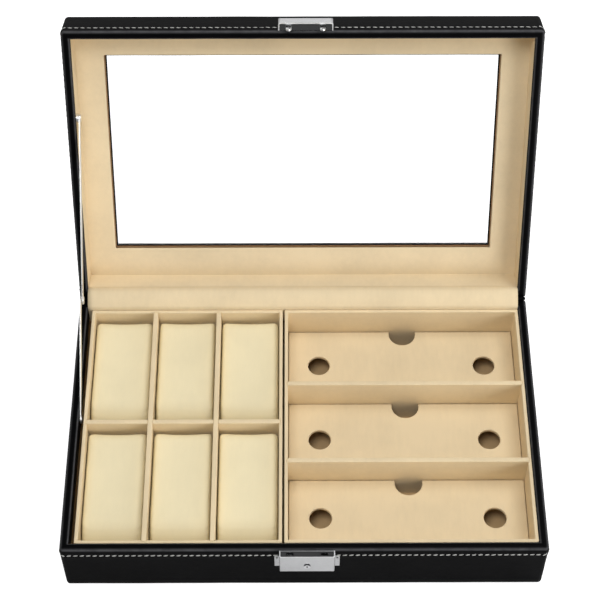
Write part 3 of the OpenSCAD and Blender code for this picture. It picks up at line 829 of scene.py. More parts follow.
@dataclass
class Dresser:
    """Puts finishes on the solids that are kept, and eases their edges."""

    smooth_deg: float = 32.0
    sharp_deg: float = 50.0
    merge_mm: float = 0.001
    smoothing: bpy.types.NodeTree | None = None

    def smoothing_tree(self) -> bpy.types.NodeTree:
        """Builds a node tree that merges doubled points and shades a mesh smooth up to an angle.

        Returns:
            The tree.
        """
        graph = ShapeGraph("merge_and_smooth", Merge="Float", Angle="Float")
        graph.inputs["Merge"].default_value = self.merge_mm * MM
        graph.inputs["Angle"].default_value = math.radians(self.smooth_deg)
        add, start = graph.add, graph.start
        weld = add("GeometryNodeMergeByDistance", start["Geometry"], Distance=start["Merge"])
        faces = add("GeometryNodeSetShadeSmooth", weld.outputs["Geometry"], domain="FACE")
        bend = add("GeometryNodeInputMeshEdgeAngle").outputs["Unsigned Angle"]
        soft = add("FunctionNodeCompare", bend, start["Angle"], data_type="FLOAT", operation="LESS_EQUAL")
        edges = add("GeometryNodeSetShadeSmooth", faces.outputs["Geometry"], domain="EDGE")
        graph.put(edges.inputs["Shade Smooth"], soft.outputs["Result"])
        add("NodeGroupOutput", edges.outputs["Geometry"])
        return graph.tree

    def dress(
        self,
        node: str,
        material: Material,
        ease_mm: float = 0.0,
        steps: int = 3,
        edges: Material | None = None,
    ) -> None:
        """Gives a solid its finish.

        Args:
            node: the solid's name.
            material: its finish.
            ease_mm: how far its edges are rounded, or 0 for none.
            steps: how many strips the rounding has.
            edges: a paler finish for the rounded edges, where one is given, as a painted highlight round them.
        """
        self.smoothing = self.smoothing or self.smoothing_tree()
        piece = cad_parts[node]
        piece.data.materials.clear()
        piece.data.materials.append(material)
        weld = piece.modifiers.new("merged", "NODES")
        weld.node_group = self.smoothing
        if ease_mm > 0:
            ease = piece.modifiers.new("eased_edges", "BEVEL")
            ease.width = ease_mm * MM
            ease.segments = steps
            ease.limit_method = "ANGLE"
            ease.angle_limit = math.radians(self.sharp_deg)
            ease.harden_normals = True
            if edges is not None:
                piece.data.materials.append(edges)
                ease.material = 1
            flat = piece.modifiers.new("flat_faces", "WEIGHTED_NORMAL")
            flat.keep_sharp = True
        LOG.info("dressed %s", node)


# ---- leather shells ----


def arc(centre: Flat, radius: float, start: float, end: float, steps: int) -> list[Flat]:
    """Points on an arc in a plane.

    Args:
        centre: the arc's centre.
        radius: its radius.
        start: its first angle in degrees.
        end: its last angle.
        steps: the number of parts.

    Returns:
        The points, both ends among them.
    """
    turns = [math.radians(start + (end - start) * i / steps) for i in range(steps + 1)]
    return [(centre[0] + radius * math.cos(a), centre[1] + radius * math.sin(a)) for a in turns]


# The least corner radius of a ring in millimetres.
LEAST_R = 0.12


@dataclass(frozen=True)
class Ring:
    """One loop of a leather shell, by its way inside each outer face, its height and its corner radius."""

    side: float
    front: float
    back: float
    z: float
    corner: float

    @classmethod
    def even(cls, inset: float, z: float) -> "Ring":
        """A ring at the same inset on every side."""
        return cls(inset, inset, inset, z, max(SIZES.edge_r - inset, LEAST_R))

    def points(self, step: float = 1.2, corner_steps: int = 8) -> np.ndarray:
        """Lays points round the ring, the same count on every ring.

        Args:
            step: the way between points on a straight side of the case in millimetres.
            corner_steps: the number of points round each corner.

        Returns:
            Rows of X, Y and Z in millimetres, counter-clockwise from the front left corner.
        """
        x0, x1 = -SIZES.body_w / 2 + self.side, SIZES.body_w / 2 - self.side
        y0, y1 = -SIZES.body_d / 2 + self.front, SIZES.body_d / 2 - self.back
        wide, deep, r = round(SIZES.body_w / step), round(SIZES.body_d / step), self.corner
        rows: list[Sequence[Sequence[float]]] = []
        for start, end, count, centre, angle in (
            ((x0 + r, y0), (x1 - r, y0), wide, (x1 - r, y0 + r), -90),
            ((x1, y0 + r), (x1, y1 - r), deep, (x1 - r, y1 - r), 0),
            ((x1 - r, y1), (x0 + r, y1), wide, (x0 + r, y1 - r), 90),
            ((x0, y1 - r), (x0, y0 + r), deep, (x0 + r, y0 + r), 180),
        ):
            rows.append(np.linspace(start, end, count, endpoint=False))
            rows.append(arc(centre, r, angle, angle + 90, corner_steps)[:-1])
        flat = np.vstack(rows)
        return np.column_stack([flat, np.full(len(flat), self.z)])


@dataclass
class Seam:
    """A row of stitches round a wall, open where the lock sits."""

    z: float
    pitch: float = 4.4
    stitch: float = 3.5
    thread_r: float = 0.43
    slant_deg: float = 13.0
    gap: float = 20.8
    width: float = 0.75
    pull: float = 0.18
    pull_swing: float = 0.1
    roll: float = 0.08
    roll_off: float = 2.2
    roll_w: float = 1.4

    def groove(self, run: np.ndarray, height: np.ndarray) -> np.ndarray:
        """How far the seam pulls the leather in, between the two low rolls beside it.

        Args:
            run: each point's way along the wall.
            height: each point's height.

        Returns:
            The depth at each point in millimetres.
        """
        off = height - self.z
        pull = self.pull + self.pull_swing * np.cos(2 * np.pi * run / self.pitch)
        roll = self.roll * np.exp(-(((np.abs(off) - self.roll_off) / self.roll_w) ** 2))
        return pull * np.exp(-((off / self.width) ** 2)) - roll


@dataclass
class LeatherShell:
    """A leather skin as one closed band of rings, with its seam pulled in and its corners creased."""

    name: str
    rings: list[Ring]
    hidden: list[Ring]
    seam: Seam
    wall_z: Flat
    crease_z: float
    full_from: float = 122.0
    full_over: float = 14.0
    highlight_power: float = 5.0
    on_face: float = 0.4
    merge_mm: float = 0.001
    slack: float = 0.1
    slack_rest: float = 0.06
    slack_top: float = 0.05
    crease: float = 0.22
    crease_top: float = 0.06
    crease_reach: float = 13.0
    crease_drop: float = 9.0
    slack_scale: Colour = (0.03, 0.03, 0.05)
    crease_scale: Colour = (0.33, 0.33, 0.12)
    crease_shift: Colour = (0.0, 0.0, 7.0)

    def build(self, material: Material, opened: bool) -> Object:
        """Makes the skin.

        Args:
            material: the leather.
            opened: True for a skin drawn on the shut lid, which then moves to the open one.

        Returns:
            The piece.
        """
        loops = np.array([ring.points() for ring in self.rings + self.hidden])
        shown = len(self.rings)
        self._square_rear(loops)
        normal = self._normals(loops)
        loops[:shown] += normal[:shown] * self._relief(loops[:shown])[:, :, None]
        # Painted highlight share: highest where a shown ring faces halfway between up and sideways, on the
        # rolled edges; none on the hidden rings.
        slope = 2 * np.abs(normal[:, :, 2]) * np.linalg.norm(normal[:, :, :2], axis=2)
        wear = slope**self.highlight_power
        wear[shown:] = 0
        points = loops.reshape(-1, 3)
        if opened:
            points = SIZES.on_lid(points)
        faces = between_rows(*loops.shape[:2], ring=True, tube=True)
        piece = piece_from(self.name, points, faces, material)
        layer = piece.data.attributes.new("wear", "FLOAT", "POINT")
        layer.data.foreach_set("value", wear.astype(np.float32).ravel())
        return faced_out(piece, self.merge_mm * MM)

    def _square_rear(self, loops: np.ndarray) -> None:
        """Fills out the rim's rear edge beyond the hinges, where the two rims nearly meet.

        Args:
            loops: the rings' points, by ring and place, which it moves.
        """
        share = np.clip((np.abs(loops[:, :, 0]) - self.full_from) / self.full_over, 0, 1)
        inset = SIZES.body_d / 2 - loops[:, :, 1]
        near_rim = np.abs(loops[:, :, 2] - self.crease_z) < SIZES.edge_r
        loops[:, :, 1] += np.where(near_rim & (inset < SIZES.edge_r) & (inset > 0), inset * share, 0.0)

    def _normals(self, loops: np.ndarray) -> np.ndarray:
        """Finds which way is out at each of the rings' points, by its neighbours round and across.

        Args:
            loops: the rings' points, by ring and place.

        Returns:
            The directions, one long.
        """
        across = np.roll(loops, -1, 0) - np.roll(loops, 1, 0)
        along = np.roll(loops, -1, 1) - np.roll(loops, 1, 1)
        normal = np.cross(along, across)
        size = np.linalg.norm(normal, axis=2, keepdims=True)
        return normal / np.maximum(size, TINY)

    def _relief(self, loops: np.ndarray) -> np.ndarray:
        """Adds up the seam, the slack in the skin and its creases.

        Args:
            loops: the shown rings' points, by ring and place.

        Returns:
            How far each point moves out, in millimetres.
        """
        step = np.linalg.norm(np.roll(loops, -1, 1) - loops, axis=2)
        run = np.cumsum(step, axis=1) - step
        height = loops[:, :, 2]
        inset = np.array([SIZES.body_w, SIZES.body_d]) / 2 - np.abs(loops[:, :, :2])
        on_wall = (inset < self.on_face).any(axis=2) & (height > self.wall_z[0]) & (height < self.wall_z[1])
        relief = np.where(on_wall, -self.seam.groove(run, height), 0.0)
        flat = loops.reshape(-1, 3)
        slack = noise_rows(flat * self.slack_scale).reshape(height.shape) * self.slack
        fold = noise_rows(flat * self.crease_scale + self.crease_shift).reshape(height.shape) * self.crease
        corner = np.linalg.norm(inset, axis=2) / self.crease_reach
        fold *= np.exp(-(corner**2)) * np.exp(-(((height - self.crease_z) / self.crease_drop) ** 2))
        slack = np.minimum(self.slack_top, slack - self.slack_rest)
        return relief + slack + np.minimum(self.crease_top, fold)


@dataclass
class StitchRow:
    """A row of stitches made by a node tree along a path."""

    name: str
    seam: Seam
    step: float = 2.0
    proud: float = 0.1
    on_front: float = 0.5
    jitter: float = 0.07

    def path(self) -> np.ndarray:
        """Follows the seam from the right of the lock round to its left.

        Returns:
            Rows of X, Y and Z in millimetres.
        """
        loop = Ring(-self.proud, -self.proud, -self.proud, self.seam.z, SIZES.edge_r).points(self.step)
        front = loop[:, 1] < -SIZES.body_d / 2 + self.on_front
        near = front & (np.abs(loop[:, 0] - SIZES.lock_x) < self.seam.gap)
        start = int(np.argmax(near)) + int(near.sum())
        return np.roll(loop, -start, axis=0)[: len(loop) - int(near.sum())]

    def graph(self) -> ShapeGraph:
        """Builds the node tree that sews: a ball of thread on each step of the path, stretched and leaning.

        Returns:
            The tree.
        """
        sizes = {name: "Float" for name in ("Pitch", "Length", "Thread", "Slant")}
        graph = ShapeGraph(self.name + "_tree", **sizes, Seed="Int", Material="Material")
        add, start = graph.add, graph.start
        curve = add("GeometryNodeMeshToCurve", start["Geometry"]).outputs["Curve"]
        spaced = add("GeometryNodeResampleCurve", mode="LENGTH", Curve=curve, Length=start["Pitch"])
        ball = add("GeometryNodeMeshUVSphere", Segments=8, Rings=6, Radius=1.0).outputs["Mesh"]
        size = add("ShaderNodeCombineXYZ", start["Length"], start["Thread"], start["Thread"])
        shaped = add("GeometryNodeTransform", Geometry=ball, Scale=size.outputs["Vector"])
        limits = (None, None, -self.jitter, self.jitter)
        jitter = add("FunctionNodeRandomValue", *limits, data_type="FLOAT", Seed=start["Seed"])
        lift = add("ShaderNodeCombineXYZ", Z=graph.math("ADD", start["Slant"], jitter.outputs[1]))
        tangent = add("GeometryNodeInputTangent").outputs["Tangent"]
        leaning = add("ShaderNodeVectorMath", tangent, lift.outputs["Vector"], operation="ADD")
        turn = add("FunctionNodeAlignRotationToVector", axis="X", Vector=leaning.outputs["Vector"])
        placed = add("GeometryNodeInstanceOnPoints", spaced.outputs["Curve"])
        graph.put(placed.inputs["Instance"], shaped.outputs["Geometry"])
        graph.put(placed.inputs["Rotation"], turn.outputs["Rotation"])
        real = add("GeometryNodeRealizeInstances", placed.outputs["Instances"])
        soft = add("GeometryNodeSetShadeSmooth", real.outputs["Geometry"])
        painted = add("GeometryNodeSetMaterial", soft.outputs["Geometry"], Material=start["Material"])
        add("NodeGroupOutput", painted.outputs["Geometry"])
        return graph

    def build(self, material: Material, seed: int, opened: bool) -> Object:
        """Sews the row.

        Args:
            material: the thread.
            seed: the seed of the stitches' small differences.
            opened: True for a row on the lid.

        Returns:
            The piece.
        """
        line = self.path()
        mesh = bpy.data.meshes.new(self.name + "_path")
        mesh.from_pydata((line * MM).tolist(), [(i, i + 1) for i in range(len(line) - 1)], [])
        guide = linked(self.name + "_path", mesh)
        graph = self.graph()
        rows = guide.modifiers.new("stitches", "NODES")
        rows.node_group = graph.tree
        for label, value in (
            ("Pitch", self.seam.pitch * MM),
            ("Length", self.seam.stitch / 2 * MM),
            ("Thread", self.seam.thread_r * MM),
            ("Slant", math.radians(self.seam.slant_deg)),
            ("Seed", seed),
            ("Material", material),
        ):
            rows[graph.inputs[label].identifier] = value
        piece = settled(guide, self.name)
        if opened:
            move_points(piece, SIZES.on_lid(points_of(piece)))
        return piece


# ---- sub-assemblies ----


# Rings beside a seam, the depth of a skin's hidden side and where it turns inside the rim, in millimetres.
SEAM_OFFS = (-3.4, -2.6, -1.9, -1.3, -0.8, -0.4, 0.0, 0.4, 0.8, 1.3, 1.9)
SKIN_BACK = SIZES.skin_t * 0.9
TURN = 2.4
Profile = list[Flat]


@dataclass
class BaseCase:
    """The lower half: board, leather, lining and the cloth that it stands on."""

    seam_drop: float = 6.8
    seed: int = 3
    wall_z: Flat = (36.0, 49.0)
    under_insets: Flat = (9.0, 5.0)
    outer_z: tuple[float, ...] = (8.0, 13.0, 19.0, 25.0, 31.0, 36.0, 40.0)
    inner_z: Flat = (47.0, 43.0)
    inner_drop: float = 3.2

    def seam(self) -> Seam:
        """The row of stitches under the rim."""
        return Seam(SIZES.rim_z - self.seam_drop)

    def rings(self) -> tuple[list[Ring], list[Ring]]:
        """The rings of the leather, from the underside round the rim to the inside.

        Returns:
            Shown rings, then hidden ones that close the band.
        """
        s, t = SIZES, SKIN_BACK
        z0, z1, r, b = s.cover_t, s.rim_z, s.edge_r, s.bead_r
        shown: Profile = [(inset, z0) for inset in (s.turn_under, *self.under_insets)]
        shown += arc((r, z0 + r), r, 270, 180, 5)
        shown += [(0.0, z) for z in self.outer_z]
        shown += [(0.0, self.seam().z + off) for off in (*SEAM_OFFS, 2.6)]
        shown += arc((r, z1 - r), r, 180, 90, 6)
        shown += arc((s.wall - b, z1 - b), b, 90, 0, 6)
        shown += [(s.wall, z) for z in (*self.inner_z, z1 - s.turn_in)]
        back: Profile = [(s.wall - t, z1 - drop) for drop in (s.turn_in, self.inner_drop)]
        back += [(s.wall - TURN, z1 - t)]
        back += [(r, z1 - t), (t, z1 - r), (t, z0 + r), (r, z0 + t), (s.turn_under, z0 + t)]
        return [Ring.even(*place) for place in shown], [Ring.even(*place) for place in back]

    def build(self, finishes: FinishBox, dresser: Dresser) -> None:
        """Makes and dresses the base's pieces.

        Args:
            finishes: the finishes of the case.
            dresser: puts them on the solids that are kept.
        """
        dresser.dress("bottom_cover", finishes.felt)
        dresser.dress("base_board", finishes.board)
        dresser.dress("base_lining", finishes.floor_velvet)
        shell = LeatherShell("base_leather_skin", *self.rings(), self.seam(), self.wall_z, SIZES.rim_z)
        skin = shell.build(finishes.leather, opened=False)
        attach(skin, "base")
        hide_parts("base_leather")
        row = StitchRow("base_stitches", self.seam()).build(finishes.thread, self.seed, opened=False)
        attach(row, "base")
        LOG.info("base: leather skin and stitches")


@dataclass
class LidCase:
    """The lid: board, leather, lining, panel and window."""

    seam_rise: float = 5.6
    seed: int = 5
    card_ease_mm: float = 0.8
    window_corner: float = 0.6
    wall_off: Flat = (-4.0, 7.0)
    outer_drops: tuple[float, ...] = (5.5, 9.0, 13.0)
    panel_shares: tuple[float, ...] = (0.2, 0.4, 0.6, 0.8, 0.95)
    window_back_out: float = 0.4
    window_back_drop: float = 2.2

    def seam(self) -> Seam:
        """The row of stitches above the rim, which leans the other way."""
        return Seam(SIZES.lid_z0 + self.seam_rise, slant_deg=-Seam.slant_deg)

    def rings(self) -> tuple[list[Ring], list[Ring]]:
        """The rings of the leather, from the window over the panel to the rim's inside.

        Returns:
            Shown rings, then hidden ones that close the band.
        """
        s, t = SIZES, SKIN_BACK
        z0, z1, r, b, wr = s.lid_z0, s.lid_z1, s.edge_r, s.bead_r, s.window_r
        glass_top = z1 - s.skin_t - s.panel_t + s.glass_t
        shown = [self._window(0.0, z) for z in (glass_top, z1 - wr)]
        shown += [self._window(x, z) for x, z in arc((wr, z1 - wr), wr, 180, 90, 6)[1:]]
        shown += [self._panel(share, z1) for share in self.panel_shares]
        outline = arc((r, z1 - r), r, 90, 180, 6)
        outline += [(0.0, z1 - drop) for drop in self.outer_drops]
        outline += [(0.0, self.seam().z - off) for off in (*SEAM_OFFS, 2.4)]
        outline += arc((r, z0 + r), r, 180, 270, 6)
        outline += arc((s.wall - b, z0 + b), b, 270, 360, 6)
        outline += [(s.wall, z0 + s.lid_turn_in)]
        back: Profile = [(s.wall - t, z0 + s.lid_turn_in), (s.wall - TURN, z0 + t)]
        back += [(r, z0 + t), (t, z0 + r), (t, z1 - r), (r, z1 - t)]
        hidden = [Ring.even(*place) for place in back]
        hidden += [self._window(wr + self.window_back_out, z1 - t)]
        hidden += [self._window(t, z) for z in (z1 - self.window_back_drop, glass_top)]
        return shown + [Ring.even(*place) for place in outline], hidden

    def _window(self, out: float, z: float) -> Ring:
        """Makes a ring round the window.

        Args:
            out: how far it lies outside the window's edge.
            z: its height.

        Returns:
            The ring.
        """
        s = SIZES
        sides = [edge - out for edge in (s.window_side, s.window_front, s.window_back)]
        return Ring(*sides, z, LEAST_R + self.window_corner * out)

    def _panel(self, share: float, z: float) -> Ring:
        """Makes a ring on the panel.

        Args:
            share: its share of the way from the window to the outer edge.
            z: its height.

        Returns:
            The ring.
        """
        s, start, end = SIZES, SIZES.window_r, SIZES.edge_r
        edges = (s.window_side, s.window_front, s.window_back)
        sides = [(edge - start) * (1 - share) + end * share for edge in edges]
        return Ring(*sides, z, LEAST_R + self.window_corner * start * (1 - share))

    def build(self, finishes: FinishBox, dresser: Dresser) -> None:
        """Makes and dresses the lid's pieces.

        Args:
            finishes: the finishes of the case.
            dresser: puts them on the solids that are kept.
        """
        dresser.dress("lid_board", finishes.board)
        dresser.dress("lid_lining", finishes.lid_velvet)
        dresser.dress("lid_card", finishes.lid_velvet, self.card_ease_mm)
        dresser.dress("lid_glass", finishes.glass)
        seam = self.seam()
        wall_z = (seam.z + self.wall_off[0], seam.z + self.wall_off[1])
        shell = LeatherShell("lid_leather_skin", *self.rings(), seam, wall_z, SIZES.lid_z0)
        skin = shell.build(finishes.leather, opened=True)
        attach(skin, "lid")
        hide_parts("lid_leather")
        row = StitchRow("lid_stitches", seam).build(finishes.thread, self.seed, opened=True)
        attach(row, "lid")
        LOG.info("lid: leather skin and stitches")


@dataclass
class Trays:
    """The two velvet trays with their dividers, ledges and loose boards."""

    ease_mm: float = 0.65

    def build(self, finishes: FinishBox, dresser: Dresser) -> None:
        """Dresses the trays' solids and makes the boards.

        Args:
            finishes: the finishes of the case.
            dresser: puts them on the solids that are kept.
        """
        for kind, parts in (
            ("watch", ("tray", "divider_cross", "divider_left", "divider_right")),
            ("glasses", ("tray", "divider_rear", "divider_front", "ledges")),
        ):
            for part in parts:
                dresser.dress(f"{kind}_{part}", finishes.velvet, self.ease_mm)
        for row in ("rear", "middle", "front"):
            GlassesBoard(row).build(finishes.velvet)


@dataclass
class GlassesBoard:
    """One loose velvet board over a glasses compartment, with two finger holes and a notch."""

    row: str
    round_r: float = 0.8
    steps: int = 4
    hole_r: float = 8.0
    hole_in: float = 22.5
    hole_front: float = 0.5
    hole_parts: int = 48
    notch_w: float = 19.6
    notch_d: float = 12.0
    notch_x: float = 1.5
    notch_parts: int = 30

    def loops(self, low: np.ndarray, high: np.ndarray) -> list[np.ndarray]:
        """The board's outline with its notch, then its holes, as rows of X and Y.

        Args:
            low: lowest corner of the board.
            high: highest corner.

        Returns:
            The loops, the outline counter-clockwise and the holes clockwise.
        """
        mid = (low + high) / 2
        r = self.notch_w / 2
        x, y = mid[0] + self.notch_x, high[1] - self.notch_d + r
        notch = [(x + r, high[1]), *arc((x, y), r, 0, -180, self.notch_parts), (x - r, high[1])]
        front = [(low[0], low[1]), (high[0], low[1])]
        loops = [np.array([*front, (high[0], high[1]), *notch, (low[0], high[1])])]
        for side in Side:
            x = mid[0] + side.value * ((high[0] - low[0]) / 2 - self.hole_in)
            y = mid[1] - self.hole_front
            loops.append(np.array(arc((x, y), self.hole_r, 0, -360, self.hole_parts)[:-1]))
        return loops

    def drawn_in(self, loop: np.ndarray, by: float) -> np.ndarray:
        """Moves a loop into the board's material.

        Args:
            loop: rows of X and Y.
            by: how far it moves.

        Returns:
            The moved rows.
        """
        ahead, back = np.roll(loop, -1, 0) - loop, loop - np.roll(loop, 1, 0)
        ways = [way / np.linalg.norm(way, axis=1, keepdims=True) for way in (ahead, back)]
        first, second = (np.column_stack([-way[:, 1], way[:, 0]]) for way in ways)
        joint = (first + second) / (1 + (first * second).sum(1, keepdims=True))
        return loop + joint * by

    def build(self, material: Material) -> None:
        """Makes the board.

        Args:
            material: its velvet.
        """
        node = f"glasses_board_{self.row}"
        low, high = (np.array(c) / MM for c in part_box(node))
        r = self.round_r
        rim = arc((r, high[2] - r), r, 90, 180, self.steps)
        rim += [(inset, low[2] + high[2] - z) for inset, z in reversed(rim)]
        points: list[np.ndarray] = []
        faces: list[Face] = []
        caps: tuple[list[np.ndarray], ...] = ([], [])
        numbers: tuple[list[int], ...] = ([], [])
        base = 0
        for loop in self.loops(low, high):
            count = len(loop)
            rings = [np.column_stack([self.drawn_in(loop, inset), np.full(count, z)]) for inset, z in rim]
            points += rings
            faces += between_rows(len(rim), count, ring=True, start=base)
            for cap, number, place in zip(caps, numbers, (0, len(rim) - 1)):
                cap.append(rings[place])
                number += range(base + place * count, base + (place + 1) * count)
            base += count * len(rim)
        smooth = len(faces)
        for cap, number in zip(caps, numbers):
            for triangle in tessellate_polygon([[Vector(p) for p in ring] for ring in cap]):
                faces.append(tuple(number[i] for i in triangle))
        piece = piece_from(f"{node}_wrap", np.vstack(points), faces, material)
        for polygon in piece.data.polygons[smooth:]:
            polygon.use_smooth = False
        faced_out(piece)
        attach(piece, f"board_{self.row}")
        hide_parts(node)
        LOG.info("board %s", self.row)


STUFFING = {
    "quality": 6,
    "mass": 0.25,
    "tension_stiffness": 12,
    "compression_stiffness": 12,
    "shear_stiffness": 6,
    "bending_stiffness": 0.6,
    "use_pressure": True,
}


@dataclass
class Pillow:
    """One stuffed watch pillow, in the space of its solid."""

    number: int
    voxel: float = 2.3
    slack: float = 0.2
    front_r: float = 22.0
    rear_r: float = 7.0
    foot_r: float = 7.0
    side_r: float = 2.4
    corner_r: float = 9.0
    rear_corner_r: float = 2.5
    swell_cap: float = 2.0
    pressure: float = 4.0
    frames: int = 20
    play: float = 0.05
    hollow: float = 1.4
    dip: float = 0.25
    dip_scale: float = 0.045
    dip_shift: float = 3.7
    strips: int = 7
    side_strips: int = 3
    crease_rad: float = 1.0
    seam_up: float = 5.0
    seam_w: float = 1.3
    seam_depth: float = 0.9
    seam_end: float = 4.0

    def blank(self, low: np.ndarray, high: np.ndarray) -> Object:
        """The cut and sewn cover before it is stuffed.

        Args:
            low: lowest corner of its space in millimetres.
            high: highest corner.

        Returns:
            A block with round edges.
        """
        size = high - low - 2 * self.slack
        mid = (high + low) / 2
        tool = bmesh.new()

        def rounded(edges: list[bmesh.types.BMEdge], radius: float, strips: int) -> None:
            """Rounds some of the block's edges."""
            shape = {"offset": radius * MM, "segments": strips, "profile": 0.5}
            bmesh.ops.bevel(tool, geom=edges, affect="EDGES", **shape)

        bmesh.ops.create_cube(tool, size=1.0)
        for v in tool.verts:
            v.co = Vector([(mid[i] + v.co[i] * size[i]) * MM for i in range(3)])
        for up, back, radius in (
            (1, -1, self.front_r),
            (1, 1, self.rear_r),
            (-1, -1, self.foot_r),
            (-1, 1, self.foot_r),
        ):
            y, z = (mid[1] + back * size[1] / 2) * MM, (mid[2] + up * size[2] / 2) * MM
            ends = [
                e
                for e in tool.edges
                if abs(e.verts[0].co.x - e.verts[1].co.x) > MM
                and abs(e.verts[0].co.z - z) < MM
                and abs(e.verts[0].co.y - y) < MM
            ]
            rounded(ends, radius, self.strips)
        sharp = [e for e in tool.edges if len(e.link_faces) == 2 and e.calc_face_angle() > self.crease_rad]
        rounded(sharp, self.side_r, self.side_strips)
        mesh = bpy.data.meshes.new("pillow_blank")
        tool.to_mesh(mesh)
        tool.free()
        piece = linked("pillow_blank", mesh)
        remesh = piece.modifiers.new("even", "REMESH")
        remesh.mode = "VOXEL"
        remesh.voxel_size = self.voxel * MM
        return settled(piece, "pillow_even")

    def stuff(self, cover: Object) -> None:
        """Swells the cover outwards by cloth simulation and keeps each point within its cap.

        Args:
            cover: the cover, which it changes.
        """
        scene = bpy.context.scene
        rest = np.array([v.co for v in cover.data.vertices])
        outward = np.array([v.normal for v in cover.data.vertices])
        cloth = cover.modifiers.new("stuffing", "CLOTH")
        for name, value in STUFFING.items():
            setattr(cloth.settings, name, value)
        cloth.settings.uniform_pressure_force = self.pressure
        cloth.settings.effector_weights.gravity = 0.0
        cloth.point_cache.frame_start, cloth.point_cache.frame_end = 1, self.frames
        for number in range(1, self.frames + 1):
            scene.frame_set(number)
        graph = bpy.context.evaluated_depsgraph_get()
        swollen = cover.evaluated_get(graph).to_mesh()
        moved = np.array([v.co for v in swollen.vertices])
        cover.evaluated_get(graph).to_mesh_clear()
        cover.modifiers.remove(cloth)
        scene.frame_set(1)
        swell = np.clip(((moved - rest) * outward).sum(1), 0, self.swell_cap * MM)
        move_points(cover, (rest + outward * swell[:, None]) / MM)

    def settle(self, cover: Object, low: np.ndarray, high: np.ndarray) -> None:
        """Presses the cover against the walls of its compartment and draws in its seam.

        Args:
            cover: the cover, stuffed or not.
            low: lowest corner of its space in millimetres.
            high: highest corner.
        """
        points = points_of(cover)
        mid, half = (high + low) / 2, (high - low) / 2 - self.play
        points = mid + np.clip(points - mid, -half, half)
        corner = np.where(points[:, 1] > mid[1], self.rear_corner_r, self.corner_r)
        past = np.abs(points[:, :2] - mid[:2]) - (half[:2] - corner[:, None])
        reach = np.hypot(past[:, 0], past[:, 1])
        outside = (past > 0).all(1) & (reach > corner)
        drawn = (half[:2] - corner[:, None]) + past * (corner / np.maximum(reach, TINY))[:, None]
        drawn = mid[:2] + np.sign(points[:, :2] - mid[:2]) * drawn
        points[:, :2] = np.where(outside[:, None], drawn, points[:, :2])
        across, along = ((points - mid) / half)[:, :2].T
        points[:, 1] -= self.hollow * (1 - across**2) * np.clip(along, 0, 1) ** 4
        sunk = 0.5 + 0.5 * noise_rows(points * self.dip_scale + self.number * self.dip_shift)
        points[:, 2] -= self.dip * sunk * (points[:, 2] > mid[2])
        from_seam = np.abs(points[:, 2] - (low[2] + self.foot_r + self.seam_up)) / self.seam_w
        end = np.abs(points[:, 1] - mid[1]) > half[1] - self.seam_end
        points[:, 1] -= np.sign(points[:, 1] - mid[1]) * self.seam_depth * np.exp(-(from_seam**2)) * end
        move_points(cover, points)

    def build(self, material: Material) -> None:
        """Makes the pillow.

        Args:
            material: its velvet.
        """
        node = f"pillow_{self.number}"
        low, high = (np.array(c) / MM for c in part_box(node))
        cover = self.blank(low, high)
        self.stuff(cover)
        self.settle(cover, low, high)
        smoothed(cover.data)
        rounded = cover.modifiers.new("rounded", "SUBSURF")
        rounded.levels = rounded.render_levels = 1
        piece = settled(cover, f"watch_pillow_{self.number}")
        piece.data.materials.clear()
        piece.data.materials.append(material)
        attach(piece, node)
        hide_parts(node)
        LOG.info("pillow %d", self.number)


@dataclass
class Pillows:
    """The six watch pillows."""

    count: int = 6

    def build(self, finishes: FinishBox, dresser: Dresser) -> None:
        """Makes the pillows."""
        for number in range(1, self.count + 1):
            Pillow(number).build(finishes.pillow)


@dataclass
class HingeCloth:
    """The strip of velvet that covers the gap between the two back walls."""

    steps: int = 14
    foot_steps: int = 5
    head_steps: int = 3
    across: int = 90
    ripple: float = 0.25
    ripple_scale: float = 0.03

    def line(self) -> list[Flat]:
        """Follows the strip's middle in the side view, from the base up to the lid.

        Returns:
            Rows of Y and Z in millimetres.
        """
        s = SIZES
        half = s.cloth_t / 2
        y = s.in_d / 2 - half
        count = self.foot_steps
        foot = [(y, s.rim_z - s.cloth_down + s.cloth_down * i / count) for i in range(count)]
        base, lid = self.edges()
        chord = lid - base
        up = np.array([-chord[1], chord[0]]) / np.linalg.norm(chord)
        arch = []
        for i in range(1, self.steps):
            t = i / self.steps
            arch.append(tuple(base + t * chord + (4 * s.cloth_crown * t * (1 - t) + half) * up))
        rises = [s.lid_z0 + s.cloth_up * (i + 1) / self.head_steps for i in range(self.head_steps)]
        head = s.on_lid(np.array([(0.0, y, z) for z in rises]))[:, 1:]
        return foot + arch + [tuple(row) for row in head]

    def edges(self) -> tuple[np.ndarray, np.ndarray]:
        """Finds where the strip leaves the base's wall and meets the lid's.

        Returns:
            Both places, as Y and Z in millimetres.
        """
        s = SIZES
        y = s.in_d / 2 - s.cloth_t
        return np.array([y, s.rim_z]), s.on_lid(np.array([[0.0, y, s.lid_z0]]))[0, 1:]

    def build(self, finishes: FinishBox, dresser: Dresser) -> None:
        """Makes the strip, drawn from the base's wall over to the open lid.

        Args:
            finishes: the finishes of the case.
            dresser: not used.
        """
        s = SIZES
        line = self.line()
        width = s.in_w - 2 * s.tray_gap
        columns = self.across + 1
        xs = [-width / 2 + width * i / self.across for i in range(columns)]
        points = np.array([(x, y, z) for y, z in line for x in xs])
        ripple = noise_rows(points * (self.ripple_scale, 0, 0))
        crown = np.repeat(np.sin(np.linspace(0, np.pi, len(line))) ** 2, columns)
        points[:, 2] += ripple * crown * self.ripple
        faces = between_rows(len(line), columns, ring=False)
        piece = piece_from("hinge_cloth", points, faces, finishes.velvet)
        thick = piece.modifiers.new("thickness", "SOLIDIFY")
        thick.thickness = s.cloth_t * MM
        thick.offset = 0
        piece = faced_out(settled(piece, "hinge_cloth"))
        base, lid = ((0.0, *(float(v) * MM for v in edge)) for edge in self.edges())
        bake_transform(piece)
        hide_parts("cloth_base_flap", "hinge_cloth_fold", "cloth_lid_flap")


